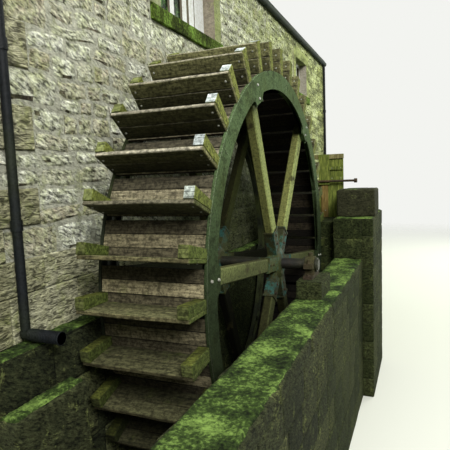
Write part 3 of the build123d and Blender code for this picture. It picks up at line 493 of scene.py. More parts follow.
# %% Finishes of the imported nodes
looks = {
    "ring_iron": ring_paint, "arm_timber": arm_finish, "hub_iron": hub_paint, "axle_iron": greasy_iron,
    "sole_timber": sole_oak, "start_timber": start_oak, "float_timber": float_oak,
    "bearing_iron": bearing_iron, "rubble_stone": mortar, "moss_stone": damp_stone,
    "sill_stone": sill_moss, "margin_stone": margin_stone, "floor_timber": floor_deal,
    "roof_slate": roof_slate, "gutter_paint": gutter_paint, "pipe_paint": pipe_black,
    "window_paint": white_paint, "window_glass": crown_glass, "door_timber": door_paint,
    "sluice_timber": board_oak, "sluice_iron": rusted_rod,
}
slot_of = {part["node"]: part["material_slot"] for part in frame["record"]["subparts"]}
for node, obj in frame["nodes"].items():
    obj.data.materials.clear()
    obj.data.materials.append(looks[slot_of[node]])
# The inner ring and the inner arms take dark copies of their finishes as painted shade.
own_looks = {"inner_ring": dark_ring_paint, "inner_arms": dark_arm_finish, "sluice_posts": orange_oak,
             "sluice_head_rail": plain_oak, "gate_stem": plain_oak}
for node, look in own_looks.items():
    frame["nodes"][node].data.materials[0] = look
print("dressed", len(slot_of), "nodes")


# %% [markdown]
# ## Mesh helpers
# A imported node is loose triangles, so a piece that follows one starts from a merged copy whose
# flat faces are joined again. Each separate block in it gets a tone, and its sharp edges a bevel.

# %% Mesh helpers
X, Y, Z = Vector((1, 0, 0)), Vector((0, 1, 0)), Vector((0, 0, 1))


def keep_inside(bm, low, high):
    """Bring every point of a mesh inside a box."""
    for vert in bm.verts:
        vert.co = [min(max(value, least), most) for value, least, most in zip(vert.co, low, high)]


def piece(name, bm, body, look, replaces=(), smooth=False):
    """Make a finished piece from a bmesh, riding on a body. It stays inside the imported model's box."""
    keep_inside(bm, *cad_box)
    mesh = bpy.data.meshes.new(name)
    bm.to_mesh(mesh)
    bm.free()
    mesh.materials.append(look)
    if smooth:
        mesh.shade_smooth()
    obj = bpy.data.objects.new(name, mesh)
    bpy.context.collection.objects.link(obj)
    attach(obj, body)
    if replaces:
        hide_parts(*replaces)
    print(name, len(mesh.polygons), "faces")
    return obj


def packed_copy(*nodes):
    """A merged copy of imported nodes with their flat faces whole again."""
    bm = bmesh.new()
    for node in nodes:
        bm.from_mesh(frame["nodes"][node].data)
    bmesh.ops.remove_doubles(bm, verts=bm.verts, dist=0.0001)
    bmesh.ops.dissolve_limit(bm, angle_limit=0.02, verts=bm.verts, edges=bm.edges)
    return bm


def give_tones(bm, low=0.0, high=1.0):
    """One tone for each separate block of a mesh, kept on its faces."""
    layer = bm.faces.layers.float.get("tone") or bm.faces.layers.float.new("tone")
    seen = set()
    for face in bm.faces:
        if face in seen:
            continue
        tone, queue = rng.uniform(low, high), [face]
        seen.add(face)
        while queue:
            current = queue.pop()
            current[layer] = tone
            for edge in current.edges:
                for other in edge.link_faces:
                    if other not in seen:
                        seen.add(other)
                        queue.append(other)


def soften(bm, width, segments=2):
    """Bevel every edge that turns more than 30 degrees."""
    sharp = [edge for edge in bm.edges if edge.calc_face_angle(0.0) > 0.52]
    bmesh.ops.bevel(bm, geom=sharp, offset=width, segments=segments, profile=0.5, affect="EDGES",
                    material=-1, clamp_overlap=True)


def block(bm, middle, size, turn=Matrix()):
    """A box of a size about a middle, turned there. Gives its corners."""
    place = Matrix.Translation(middle) @ turn @ Matrix.Diagonal((*size, 1))
    return bmesh.ops.create_cube(bm, size=1.0, matrix=place)["verts"]


def outwards(angle):
    """The direction from the axle at an angle above the horizontal of the wheel's near side."""
    return Vector((0, -math.cos(angle), math.sin(angle)))


def cut_across(bm, axis, places):
    """Cut a mesh across an axis, so that it can bend there."""
    normal = (X, Y, Z)[axis]
    for place in places:
        bmesh.ops.bisect_plane(bm, geom=bm.verts[:] + bm.edges[:] + bm.faces[:], plane_co=normal * place,
                               plane_no=normal)


def weather(bm, size, amount):
    """Move every point by a soft noise whose bumps are of a given size."""
    for vert in bm.verts:
        vert.co += noise.noise_vector(vert.co / size) * amount


# %% [markdown]
# ## Floats and starts
# Each float is two boards nailed to a pair of starts. Sawn boards have softened edges and are never
# quite straight, so the copies are cut across in a few places, bevelled and bent by some
# millimetres.

# %% Floats
BENDS = 5                    # straight lengths in a bent board
TIMBER_TONES = (0.5, 0.9)    # darkest and palest board


def wheel_boards(name, node, look, bevel, bend):
    """The boards of one wheel node, with worn edges and a slight bend."""
    bm = packed_copy(node)
    low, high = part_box(node)
    cut_across(bm, 0, [low[0] + (high[0] - low[0]) * i / BENDS for i in range(1, BENDS)])
    give_tones(bm, *TIMBER_TONES)
    soften(bm, bevel, 1)
    weather(bm, 0.21, bend)
    return piece(name, bm, "wheel", look, (node,))


wheel_boards("inner_float_boards", "float_boards_inner", float_oak, 0.005, 0.004)
wheel_boards("outer_float_boards", "float_boards_outer", float_oak, 0.006, 0.005)
for node, look in (("outer_starts", start_oak), ("inner_starts", inner_start_oak)):
    bm = packed_copy(node)
    give_tones(bm, *TIMBER_TONES)
    soften(bm, 0.004, 1)
    piece("worn_" + node, bm, "wheel", look, (node,))

# %% [markdown]
# ## Ring edges
# The outer ring is a copy of the imported casting with its rims rounded, because the rubbed edge,
# with its painted highlight, shows as a thin pale line around the paint.

# %% Outer ring
bm = packed_copy("outer_ring")
soften(bm, 0.009, 1)
piece("rubbed_outer_ring", bm, "wheel", ring_paint, ("outer_ring",))

# %% [markdown]
# ## Sole
# The sole is the drum between the rings. Three boards close each bay, with open joints, and a wide
# slot is left behind each float so that air can leave the bucket.

# %% Sole boards
FLOATS = 36
BAY = math.radians(360 / FLOATS)
BAY_START = math.radians(0.66)       # where the first float's trailing face stands
BOARDS_A_BAY = 3
AIR_SLOT = 0.036
SOLE_BOARD = 0.028                   # thickness
DRIP_TOP = HUB.z + 0.6               # below it a bay's lowest board stays wet and dark
bm = bmesh.new()
sole_low, sole_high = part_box("sole_boards")
for bay in range(FLOATS):
    first = BAY_START + bay * BAY - math.radians(0.2)
    last = first + BAY - AIR_SLOT / RIM
    ends = [HUB + outwards(angle) * RIM for angle in (first, last)]
    run = (ends[1] - ends[0]) / BOARDS_A_BAY
    inward = -(ends[0] + ends[1] - 2 * HUB).normalized()
    along = run.normalized()
    turn = Matrix(((1, 0, 0), (0, along.y, inward.y), (0, along.z, inward.z))).to_4x4()
    for board in range(BOARDS_A_BAY):
        centre = ends[0] + run * (board + 0.5) + inward * (0.015 + rng.uniform(0.0, 0.003))
        centre.x = (sole_low[0] + sole_high[0]) / 2
        width = run.length - rng.uniform(0.003, 0.007)
        block(bm, centre, (sole_high[0] - sole_low[0] - 0.002, width, SOLE_BOARD), turn)
bmesh.ops.recalc_face_normals(bm, faces=bm.faces)
layer = bm.faces.layers.float.new("tone")
for i, face in enumerate(bm.faces):
    board = (i // 6) % BOARDS_A_BAY
    if i % 6 == 0:
        # The top board of each bay lies under the float above: its tone near 0 is the float's shadow,
        # painted.
        tone = rng.uniform(0.0, 0.06) if board == BOARDS_A_BAY - 1 else rng.uniform(0.3, 1.0)
        if board == 0 and face.calc_center_median().z < DRIP_TOP:
            tone *= 0.2
    face[layer] = tone
soften(bm, 0.003, 1)
piece("sole_planks", bm, "wheel", sole_oak, ("sole_boards",))
print("sole boards:", FLOATS * BOARDS_A_BAY)


# %% [markdown]
# ## Bolts
# Coach bolts hold each board to its starts, and the rings to their arms. Their pale heads are easy
# to see against the wet wood. A head is a short cone, a little narrower at its top.

# %% Bolt heads
def bolt_head(bm, place, axis, radius, height, sides=10):
    """A bolt head standing on a place along an axis."""
    turn = Vector(axis).to_track_quat("Z", "Y").to_matrix().to_4x4()
    middle = Vector(place) + Vector(axis) * height / 2
    bmesh.ops.create_cone(bm, cap_ends=True, segments=sides, radius1=radius, radius2=radius * 0.72,
                          depth=height, matrix=Matrix.Translation(middle) @ turn)


bm = bmesh.new()
HALF_START = 0.045
START_MIDDLES = [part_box(node)[0][0] + HALF_START for node in ("outer_starts", "inner_starts")]
for k in range(FLOATS):
    angle = BAY_START + k * BAY
    trailing = -Vector((0, math.sin(angle), math.cos(angle)))
    for x in START_MIDDLES:
        for reach in (0.075, 0.215):
            centre = HUB + outwards(angle) * (RIM + reach) + trailing * -0.004
            centre.x = x
            bolt_head(bm, centre, trailing, 0.011, 0.010)
piece("float_bolts", bm, "wheel", bolt_iron)

bm = bmesh.new()
ARM_ANGLES = [math.radians(6.9 + 60 * k) for k in range(6)]
SUNK = 0.002                 # a head starts this far inside the iron
for angle in ARM_ANGLES:
    for x, side in ((HUB.x - SUNK, 1), (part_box("inner_ring")[0][0] + SUNK, -1)):
        for reach in (2.07, 1.935):
            centre = HUB + outwards(angle) * reach
            centre.x = x
            bolt_head(bm, centre, X * side, 0.016, 0.014)
piece("ring_bolts", bm, "wheel", bolt_iron)

# %% [markdown]
# ## Rubble walls
# The walls are random rubble brought to courses: the mason lays a large corner stone, fills up to
# its height with two or three rows of smaller stones, and starts again. The script builds the same
# way. A handful of rough stone shapes are made once from a grid with sides, and each stone of the
# wall is one of them, stretched to its place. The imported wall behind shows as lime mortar.

# %% Stone shapes
STONE_DEPTH = 0.05           # thickness of a stone's visible part with its root in the mortar
PROUD = 0.018                # how far its face stands out of the mortar
JOINT = 0.017                # mortar between two stones
RUBBLE_LENGTH, RUBBLE_ROW = 0.36, 0.17     # mean size of a rubble stone on the face
TOOLED_LENGTH = 0.62         # mean length of a tooled stone
# A stone's sides are darkened by this much as painted shade in the joint, unless they face up.
SIDE_SHADE = 2.0              # taken off the tone of a stone's sides, which lie in the joint
SWAY = 0.034                 # how far the courses wander


def stone_shape(squares):
    """A rough stone of unit size, its face towards +Y. Gives its mesh and how each face looks."""
    bm = bmesh.new()
    upright = Matrix.Translation((0, 0.5, 0)) @ Matrix.Rotation(math.radians(-90), 4, "X")
    bmesh.ops.create_grid(bm, x_segments=squares, y_segments=squares, size=0.5, matrix=upright)
    rim = [edge for edge in bm.edges if edge.is_boundary]
    for vert in bm.verts:
        at_edge = (abs(vert.co.x) > 0.45) + (abs(vert.co.z) > 0.45)
        vert.co.x *= 1.0 - 0.02 * at_edge + rng.uniform(-0.10, 0.03)
        vert.co.z *= 1.0 - 0.03 * at_edge + rng.uniform(-0.17, 0.05)
        vert.co.y += (-0.22 if at_edge else 0.0) + rng.uniform(-0.14, 0.03)
    sides = bmesh.ops.extrude_edge_only(bm, edges=rim)["geom"]
    for vert in sides:
        if isinstance(vert, bmesh.types.BMVert):
            vert.co.y = -0.5
    bmesh.ops.holes_fill(bm, edges=[edge for edge in bm.edges if edge.is_boundary], sides=0)
    bmesh.ops.recalc_face_normals(bm, faces=bm.faces)
    bm.faces.layers.float.new("tone")
    bm.normal_update()
    looks_out = [(face.normal.y > 0.5, face.normal.z) for face in bm.faces]
    mesh = bpy.data.meshes.new("stone_shape")
    bm.to_mesh(mesh)
    bm.free()
    return mesh, looks_out


shapes = [stone_shape(5) for _ in range(16)]
print("stone shapes:", len(shapes), "of", len(shapes[0][1]), "faces")


# %% Laying stones
def set_stone(bm, face, u, z, width, height, tone, proud):
    """Set one stone with its middle at u along a wall's face and z up."""
    corner, along, out = face
    place = corner + along * u + Vector((0, 0, z)) + out * (proud - STONE_DEPTH / 2)
    turn = Matrix((along, out, (0, 0, 1))).transposed().to_4x4()
    over = rng.choice((-1, 1))
    size = Matrix.Diagonal((width * rng.choice((-1, 1)), STONE_DEPTH, height * over, 1))
    shape, looks_out = rng.choice(shapes)
    shape = shape.copy()
    lean = Matrix.Rotation(rng.uniform(-0.05, 0.05), 4, "Y")
    shape.transform(Matrix.Translation(place) @ turn @ lean @ size)
    if size.determinant() < 0:
        shape.flip_normals()
    # Sides that do not face up get the painted shade of the joint.
    tones = [tone if front or up * over > 0.4 else tone - SIDE_SHADE for front, up in looks_out]
    shape.attributes["tone"].data.foreach_set("value", tones)
    bm.from_mesh(shape)
    bpy.data.meshes.remove(shape)


def free_spans(length, z_low, z_high, holes):
    """The lengths of a course that no opening takes."""
    spans = [(0.0, length)]
    for left, right, low, high in holes:
        if low < z_high - 0.01 and high > z_low + 0.01:
            parts = [part for a, b in spans for part in ((a, min(b, left)), (max(a, right), b))]
            spans = [(a, b) for a, b in parts if b - a > 0.04]
    return spans


def split(low, high, mean, spread):
    """Cut a length into random parts about a mean size."""
    count = max(1, round((high - low) / mean))
    step = (high - low) / count
    inner = [low + step * (i + rng.uniform(-spread, spread)) for i in range(1, count)]
    return list(zip([low] + inner, inner + [high]))


def rubble_face(bm, face, length, levels, holes):
    """Fill one face of a wall with coursed rubble. Some stones are as high as their course."""
    for z_low, z_high in zip(levels, levels[1:]):
        for start, end in free_spans(length, z_low, z_high, holes):
            for left, right in split(start, end, 0.8, 0.3):
                big = right - left < 0.75 and z_high - z_low < 0.36 and rng.random() < 0.3
                rows = [(z_low, z_high)]
                if not big:
                    rows = split(z_low, z_high, RUBBLE_ROW * rng.uniform(0.8, 1.25), 0.14)
                for low, high in rows:
                    mean = RUBBLE_LENGTH * rng.uniform(0.65, 1.3) * (1.5 if big else 1.0)
                    for a, b in split(left, right, mean, 0.28):
                        gap = JOINT * rng.uniform(0.6, 1.5)
                        set_stone(bm, face, (a + b) / 2, (low + high) / 2, b - a - gap,
                                  high - low - gap * 0.8, rng.random(), PROUD * rng.uniform(0.6, 1.05))


def sway(bm, face):
    """Let the courses wander up and down and the upright joints lean, as laid by eye."""
    out = face[2]
    for vert in bm.verts:
        drift = noise.noise_vector(vert.co * 2.4) + noise.noise_vector(vert.co * 6.0) * 0.35
        vert.co += (drift - out * drift.dot(out)) * SWAY


def tooled_stone(bm, face, a, b, low, high, proud=PROUD):
    """One squared stone with its own slight unevenness. Its edges are bevelled later."""
    corner, along, out = face
    place = corner + along * (a + b) / 2 + Vector((0, 0, (low + high) / 2)) + out * (proud - STONE_DEPTH / 2)
    turn = Matrix((along, out, (0, 0, 1))).transposed().to_4x4()
    for vert in block(bm, place, (b - a - 0.009, STONE_DEPTH, high - low - 0.008), turn):
        vert.co += along * rng.uniform(-0.003, 0.003) + Vector((0, 0, rng.uniform(-0.003, 0.003)))


# %% [markdown]
# The wall levels below are the heights that the courses come up to: the corner stones give most of
# them, and the sill, head and lintel of the window row give the rest, so that no stone is cut
# halfway.

# %% Wall levels and openings
TOOLED_FOOT, TOOLED_TOP, EAVES = 2.48, 3.09, 6.84
SILL_BOTTOM, LINTEL_TOP = 5.365, 6.55
LEVELS_LOW = [0.0, 0.31, 0.62, 0.93, 1.24, 1.55, 1.86, 2.17, TOOLED_FOOT]
LEVELS_TOOLED = [TOOLED_FOOT, 2.83, TOOLED_TOP]
LEVELS_HIGH = [TOOLED_TOP, 3.33, 3.61, 3.89, 4.22, 4.49, 4.83, 5.10, SILL_BOTTOM, 5.69, 6.0, 6.32,
               LINTEL_TOP, EAVES]
GABLE_LEVELS = [7.13, 7.42, 7.70, 7.99, 8.28, 8.57, 8.86, 9.18]
LEVELS = LEVELS_LOW + LEVELS_TOOLED[1:] + LEVELS_HIGH[1:]
LONG_QUOIN, SHORT_QUOIN = 0.74, 0.38
MARGIN = 0.225               # dressed stone at each side of a window
NEAR_OPENING = (HUB.y + 0.34, 1.5 / 2 + MARGIN)       # middle along the wall, and half the width
FAR_OPENING = (HUB.y + 6.315, 1.05 / 2 + MARGIN)
OPENINGS = (NEAR_OPENING, FAR_OPENING)
DOOR_HEAD = 4.62
wall_y = (wall_low[1], wall_high[1])
mill_x = (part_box("back_wall")[0][0], wall_high[0])
ridge_x = (mill_x[0] + mill_x[1]) / 2
wall_length = wall_y[1] - wall_y[0]
mill_depth = mill_x[1] - mill_x[0]
ledge_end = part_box("wall_ledge")[1][1]


def window_holes(start, openings):
    """Openings along a face, as (left, right, low, high)."""
    return [(abs(middle - start) - half, abs(middle - start) + half, SILL_BOTTOM, LINTEL_TOP)
            for middle, half in openings]


def quoins(bm, face, length, first_long=0):
    """Alternate long and short corner stones at both ends of a face. Gives the room they take."""
    taken = []
    for i, (low, high) in enumerate(zip(LEVELS, LEVELS[1:])):
        size = LONG_QUOIN if (i + first_long) % 2 else SHORT_QUOIN
        for a, b in ((0.0, size), (length - size, length)):
            tooled_stone(bm, face, a, b, low, high)
            taken.append((a, b, low, high))
    return taken


# %% Wheel-side wall
face = (Vector((wall_high[0], wall_y[0], 0)), Y, X)
axle_hole = (HUB.y - 0.2 - wall_y[0], HUB.y + 0.2 - wall_y[0], HUB.z - 0.14, HUB.z + 0.196)
ledge_hole = (0, ledge_end - wall_y[0], 0, TOOLED_FOOT)
corners = bmesh.new()
holes = window_holes(wall_y[0], OPENINGS) + [axle_hole, ledge_hole] + quoins(corners, face, wall_length)
for low, high in zip(LEVELS_TOOLED, LEVELS_TOOLED[1:]):
    for start, end in free_spans(wall_length, low, high, holes):
        for a, b in split(start, end, TOOLED_LENGTH, 0.25):
            tooled_stone(corners, face, a, b, low, high, PROUD * rng.uniform(0.5, 1.0))
bm = bmesh.new()
rubble_face(bm, face, wall_length, LEVELS_HIGH, holes)
rubble_face(bm, face, wall_length, LEVELS_LOW, holes)
sway(bm, face)
piece("wheel_wall_stones", bm, "mill", rubble)

# %% Back wall
face = (Vector((mill_x[0], wall_y[1], 0)), -Y, -X)
door_low, door_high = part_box("door_frame")
door_hole = (wall_y[1] - door_high[1] - 0.05, wall_y[1] - door_low[1] + 0.05, TOOLED_FOOT, DOOR_HEAD)
holes = window_holes(wall_y[1], OPENINGS) + [door_hole] + quoins(corners, face, wall_length)
bm = bmesh.new()
rubble_face(bm, face, wall_length, LEVELS, holes)
sway(bm, face)
piece("back_wall_stones", bm, "mill", rubble)

# %% Gables
ROOF_PITCH = math.radians(38)
gables = (("near_gable", Vector((mill_x[0], wall_y[0], 0)), X, -Y),
          ("far_gable", Vector((mill_x[1], wall_y[1], 0)), -X, Y))
for name, *face in gables:
    holes = window_holes(face[0].x, ((ridge_x, FAR_OPENING[1]),)) + quoins(corners, face, mill_depth, 1)
    bm = bmesh.new()
    rubble_face(bm, face, mill_depth, LEVELS + GABLE_LEVELS, holes)
    sway(bm, face)
    for side, x in ((1, mill_x[1]), (-1, mill_x[0])):
        normal = Vector((side * math.sin(ROOF_PITCH), 0, math.cos(ROOF_PITCH)))
        cut = bmesh.ops.bisect_plane(bm, geom=bm.verts[:] + bm.edges[:] + bm.faces[:], plane_no=normal,
                                     plane_co=(x, face[0].y, EAVES - 0.002), clear_outer=True)["geom_cut"]
        bmesh.ops.holes_fill(bm, edges=[part for part in cut if isinstance(part, bmesh.types.BMEdge)])
    piece(name + "_stones", bm, "mill", rubble)
give_tones(corners)
soften(corners, 0.007, 1)
piece("corner_stones", corners, "mill", quoin)

# %% [markdown]
# ## The wheel pit
# The pit's outer wall is a rough core here, set back a little, so that its stones end flush with
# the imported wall. The ledge, the pit walls and the end of the race are faced with larger, darker
# blocks, which never dry.

# %% Pit wall core
CORE_BACK = 0.014
pit_low, pit_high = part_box("outer_pit_wall")
ledge_low, ledge_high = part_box("wall_ledge")
breast_low, breast_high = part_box("breast_wall")
coping_low, coping_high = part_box("pit_coping")
bm = packed_copy("outer_pit_wall")
for vert in bm.verts:
    if vert.co.x > pit_high[0] - 0.001:
        vert.co.x -= CORE_BACK
    if vert.co.y < pit_low[1] + 0.001:
        vert.co.y += CORE_BACK
piece("pit_wall_core", bm, "mill", damp_mortar, ("outer_pit_wall",))

# %% Pit wall stones
COPING_TOP = 2.25            # where the high wall's end shows over the coping
PIT_LENGTH = 0.5             # mean length of a stone of the pit
PIT_LEVELS = [0.0, 0.30, 0.62, 0.92, 1.24, 1.53, 1.82, 2.10]
HIGH_LEVELS = PIT_LEVELS + [2.36, 2.62, pit_high[2]]
BREAST_LEVELS = HIGH_LEVELS[:-1] + [breast_high[2]]
LEDGE_LEVELS = PIT_LEVELS + [ledge_high[2] - 0.005]
OUT = 0.012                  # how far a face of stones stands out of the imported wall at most
low_outer_x = coping_high[0] - 0.02
step_y = coping_high[1]
low_length, low_width = step_y - pit_low[1], low_outer_x - pit_low[0]
# Of each face: its corner, the way along it and out of it, its length, its levels, how far out.
faces = (
    ((low_outer_x, pit_low[1], 0), Y, X, low_length, PIT_LEVELS, OUT),
    ((pit_low[0], step_y, 0), -Y, -X, low_length, PIT_LEVELS, OUT),
    ((pit_high[0], step_y, 0), Y, X, pit_high[1] - step_y, HIGH_LEVELS, 0.0),
    ((low_outer_x, step_y, 0), X, -Y, pit_high[0] - low_outer_x, HIGH_LEVELS, OUT),
    ((pit_low[0], step_y, COPING_TOP), X, -Y, low_width, [0.0, 0.32, 0.64], OUT),
    ((pit_low[0], pit_low[1], 0), X, -Y, low_width, PIT_LEVELS, 0.0),
    ((pit_high[0], pit_high[1], 0), -X, Y, pit_high[0] - ledge_low[0], BREAST_LEVELS, OUT),
    ((ledge_high[0], ledge_low[1], 0), Y, X, breast_low[1] - ledge_low[1], LEDGE_LEVELS, 0.010),
    ((ledge_low[0], ledge_low[1], 0), X, -Y, ledge_high[0] - ledge_low[0], LEDGE_LEVELS, OUT),
)
bm = bmesh.new()
for corner, along, out, length, levels, proud in faces:
    for low, high in zip(levels, levels[1:]):
        for a, b in split(0.0, length, PIT_LENGTH, 0.25):
            tooled_stone(bm, (Vector(corner), along, out), a, b, low, high, proud * rng.uniform(0.6, 1.0))
cut_across(bm, 2, [0.15 * i for i in range(1, 20)])
give_tones(bm)
soften(bm, 0.012, 2)
weather(bm, 0.13, 0.004)
for vert in bm.verts:
    vert.co.x = min(vert.co.x, pit_high[0])
    vert.co.y = max(vert.co.y, pit_low[1])
    vert.co.z = max(vert.co.z, 0.0)
piece("pit_wall_stones", bm, "mill", damp_stone, smooth=True)

# %% [markdown]
# ## Coping, pier and moss
# Coping stones lie end to end on the low wall, and one big worn block stands on the high one. A
# block is a cube cut into a fine grid and moved by noise, so its corners round off as weather
# leaves them. Moss lies on every top as a mat of its own, a displaced grid with a rim that turns
# down into the stone.

# %% Worn blocks
def worn_block(bm, low, high, cuts, round_off, bumps):
    """A block between two corners, with its edges worn round and its faces uneven."""
    centre, size = (Vector(low) + Vector(high)) / 2, Vector(high) - Vector(low)
    part = bmesh.new()
    block(part, centre, size)
    bmesh.ops.bevel(part, geom=part.edges[:], offset=round_off, segments=3, profile=0.5, affect="EDGES",
                    material=-1)
    for axis in range(3):
        cut_across(part, axis, [low[axis] + size[axis] * i / cuts for i in range(1, cuts)])
    for vert in part.verts:
        fine = noise.noise_vector(vert.co / 0.045) * bumps * 0.4
        vert.co += noise.noise_vector(vert.co / 0.16) * bumps + fine
    keep_inside(part, low, high)
    mesh = bpy.data.meshes.new("block")
    part.to_mesh(mesh)
    part.free()
    bm.from_mesh(mesh)
    bpy.data.meshes.remove(mesh)


COPING_LENGTH = 0.9
HALF_JOINT = 0.004
bm = bmesh.new()
for a, b in split(coping_low[1], coping_high[1], COPING_LENGTH, 0.15):
    top = coping_high[2] - rng.uniform(0, 0.01)
    worn_block(bm, (coping_low[0], a + HALF_JOINT, coping_low[2]), (coping_high[0], b - HALF_JOINT, top),
               12, 0.03, 0.012)
give_tones(bm)
piece("coping_stones", bm, "mill", damp_stone, ("pit_coping",), smooth=True)
# Of each single block: its cuts each way, how far its edges are worn off, how high its bumps are.
blocks = (("pier_stone", "pier_block", shaded_pitted_stone, 22, 0.04, 0.014),
          ("bearing_pad", "bearing_stone", damp_stone, 14, 0.02, 0.006),
          ("worn_step", "race_step", damp_stone, 26, 0.035, 0.014))
for name, node, look, *wear in blocks:
    bm = bmesh.new()
    worn_block(bm, *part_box(node), *wear)
    give_tones(bm)
    piece(name, bm, "mill", look, (node,), smooth=True)


# %% Moss mats
MAT_GRID = 0.022             # distance between the points of a mat
RIM_SINK = 0.012             # how deep a mat's rim goes into the stone


def moss_mat(bm, low, high, top, thick):
    """A mat of moss over a flat top between two corners, with clumps and a ragged rim."""
    middle = Vector(((low[0] + high[0]) / 2, (low[1] + high[1]) / 2, top))
    span = (high[0] - low[0], high[1] - low[1])
    counts = [max(4, int(length / MAT_GRID)) for length in span]
    place = Matrix.Translation(middle) @ Matrix.Diagonal((*span, 1, 1))
    made = bmesh.ops.create_grid(bm, x_segments=counts[0], y_segments=counts[1], size=0.5,
                                 matrix=place)["verts"]
    ring = {vert for vert in made if vert.is_boundary}
    for vert in made:
        clump = 0.5 + 0.5 * noise.noise(vert.co / 0.055) + 0.35 * noise.noise(vert.co / 0.02)
        drift = 0.5 + 0.7 * noise.noise(vert.co / 0.4)
        vert.co.z += thick * (0.15 + max(0.0, clump) * max(0.25, drift))
        if vert in ring:
            vert.co += noise.noise_vector(vert.co / 0.05) * 0.012
            vert.co.z = top - RIM_SINK
    edges = [edge for edge in bm.edges if edge.is_boundary and edge.verts[0] in ring]
    bmesh.ops.holes_fill(bm, edges=edges)


pier_low, pier_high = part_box("pier_block")
step_low, step_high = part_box("race_step")
# Of each mat: two corners of the stone, how far it keeps in from each, its depth and its thickness.
mats = (
    (ledge_low, ledge_high, (0.005, 0.01), (0.004, 0.01), 0.0, 0.03),
    (step_low, step_high, (0.02, 0.02), (0.02, 0.02), 0.004, 0.035),
    (coping_low, coping_high, (0.012, 0.012), (0.012, 0.02), 0.006, 0.035),
    (pier_low, pier_high, (0.03, 0.03), (0.03, 0.03), 0.012, 0.02),
    ((pit_low[0], pier_high[1]), pit_high, (0.01, 0.01), (0.01, 0.01), 0.0, 0.03),
    ((pit_low[0], step_y), (pit_high[0], pier_low[1], pit_high[2]), (0.01, 0.01), (0.01, 0.01), 0.0, 0.03),
)
bm = bmesh.new()
for low, high, low_in, high_in, sunk, thick in mats:
    moss_mat(bm, (low[0] + low_in[0], low[1] + low_in[1]), (high[0] - high_in[0], high[1] - high_in[1]),
             high[2] - sunk, thick)
for vert in bm.verts:
    if pier_low[1] < vert.co.y < pier_high[1] and vert.co.x > pier_low[0]:
        vert.co.z = min(vert.co.z, pier_high[2])
bmesh.ops.recalc_face_normals(bm, faces=bm.faces)
piece("moss_mats", bm, "mill", wet_moss, smooth=True)

# %% [markdown]
# ## Sills and window surrounds
# The sills carry a cushion of bright moss along their top edge and down their face. The dressed
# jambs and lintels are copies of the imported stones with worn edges.

# %% Sills and margins
SILL_GRID = 0.06
bm = packed_copy("window_sills")
low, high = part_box("window_sills")
for axis in (0, 1):
    cuts = int((high[axis] - low[axis]) / SILL_GRID)
    cut_across(bm, axis, [low[axis] + SILL_GRID * i for i in range(1, cuts)])
soften(bm, 0.006, 1)
weather(bm, 0.09, 0.004)
give_tones(bm)
piece("mossy_sills", bm, "mill", sill_moss, ("window_sills",))
bm = packed_copy("window_margins")
give_tones(bm)
soften(bm, 0.007, 2)
margins = piece("dressed_margins", bm, "mill", margin_stone, ("window_margins",))
margins.data.materials.append(reveal_stone)
for face in margins.data.polygons:
    face.material_index = int(abs(face.normal.y) > 0.7)

# %% [markdown]
# ## Roof
# Slates hang in courses, each lapping the one below by more than half its length, so only the
# lower 200 mm shows. A slate is a thin box tilted a little more than the roof, and the joints of
# one course lie over the middles of the next.

# %% Slates
GAUGE, SLATE_L, SLATE_W, SLATE_T = 0.2, 0.26, 0.3, 0.008
ROOF_T = 0.045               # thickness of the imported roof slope
LAP_TILT = 0.035             # a slate's tilt over the roof's own, in radians
SLATE_LIFT = 0.009           # a slate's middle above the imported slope
slope_low, slope_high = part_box("roof_slope_wheel_side")
near_y, far_y = slope_low[1], slope_high[1]
eaves_x, eaves_z = slope_high[0], slope_low[2] + ROOF_T / math.cos(ROOF_PITCH)
for name, side in (("slates_wheel_side", 1), ("slates_back", -1)):
    bm = bmesh.new()
    bottom = Vector((ridge_x + side * (eaves_x - ridge_x), 0, eaves_z))
    up_slope = Vector((-side * math.cos(ROOF_PITCH), 0, math.sin(ROOF_PITCH)))
    out = Vector((side * math.sin(ROOF_PITCH), 0, math.cos(ROOF_PITCH)))
    turn = Matrix.Rotation(side * LAP_TILT, 4, "Y") @ Matrix((up_slope, Y, out)).transposed().to_4x4()
    rows = int(((eaves_x - ridge_x) / math.cos(ROOF_PITCH) - 0.1) / GAUGE)
    for row in range(rows):
        y, offset = near_y + 0.002, (row % 2) * SLATE_W / 2
        while y < far_y - 0.01:
            width = min(SLATE_W if y > near_y + 0.01 or not offset else offset, far_y - y - 0.002)
            lift = SLATE_LIFT + rng.uniform(0.0, 0.003)
            middle = bottom + up_slope * (row * GAUGE + SLATE_L / 2) + out * lift
            middle.y = y + width / 2
            block(bm, middle, (SLATE_L, width - 0.004, SLATE_T), turn)
            y += width
    bmesh.ops.recalc_face_normals(bm, faces=bm.faces)
    give_tones(bm)
    piece(name, bm, "mill", roof_slate)

# %% Ridge stones
RIDGE_GAP = 0.003            # half the joint between two ridge stones
ridge = packed_copy("roof_ridge")
ridge_low, ridge_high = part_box("roof_ridge")
joints = [a for a, b in split(ridge_low[1], ridge_high[1], 0.6, 0.05)][1:]
cut_across(ridge, 1, [joint + gap for joint in joints for gap in (-RIDGE_GAP, RIDGE_GAP)])
slivers = []
for face in ridge.faces:
    y = face.calc_center_median().y
    if any(abs(y - joint) < RIDGE_GAP - 0.0001 for joint in joints):
        slivers.append(face)
bmesh.ops.delete(ridge, geom=slivers, context="FACES")
bmesh.ops.holes_fill(ridge, edges=[edge for edge in ridge.edges if edge.is_boundary])
bmesh.ops.recalc_face_normals(ridge, faces=ridge.faces)
give_tones(ridge)
soften(ridge, 0.004, 1)
piece("ridge_stones", ridge, "mill", rubble_ridge, ("roof_ridge",))

# %% [markdown]
# ## Rainwater goods
# The gutters hang from flat straps every 0.9 m. The near pipe ends in a ribbed bend, as flexible
# drain pipe has.

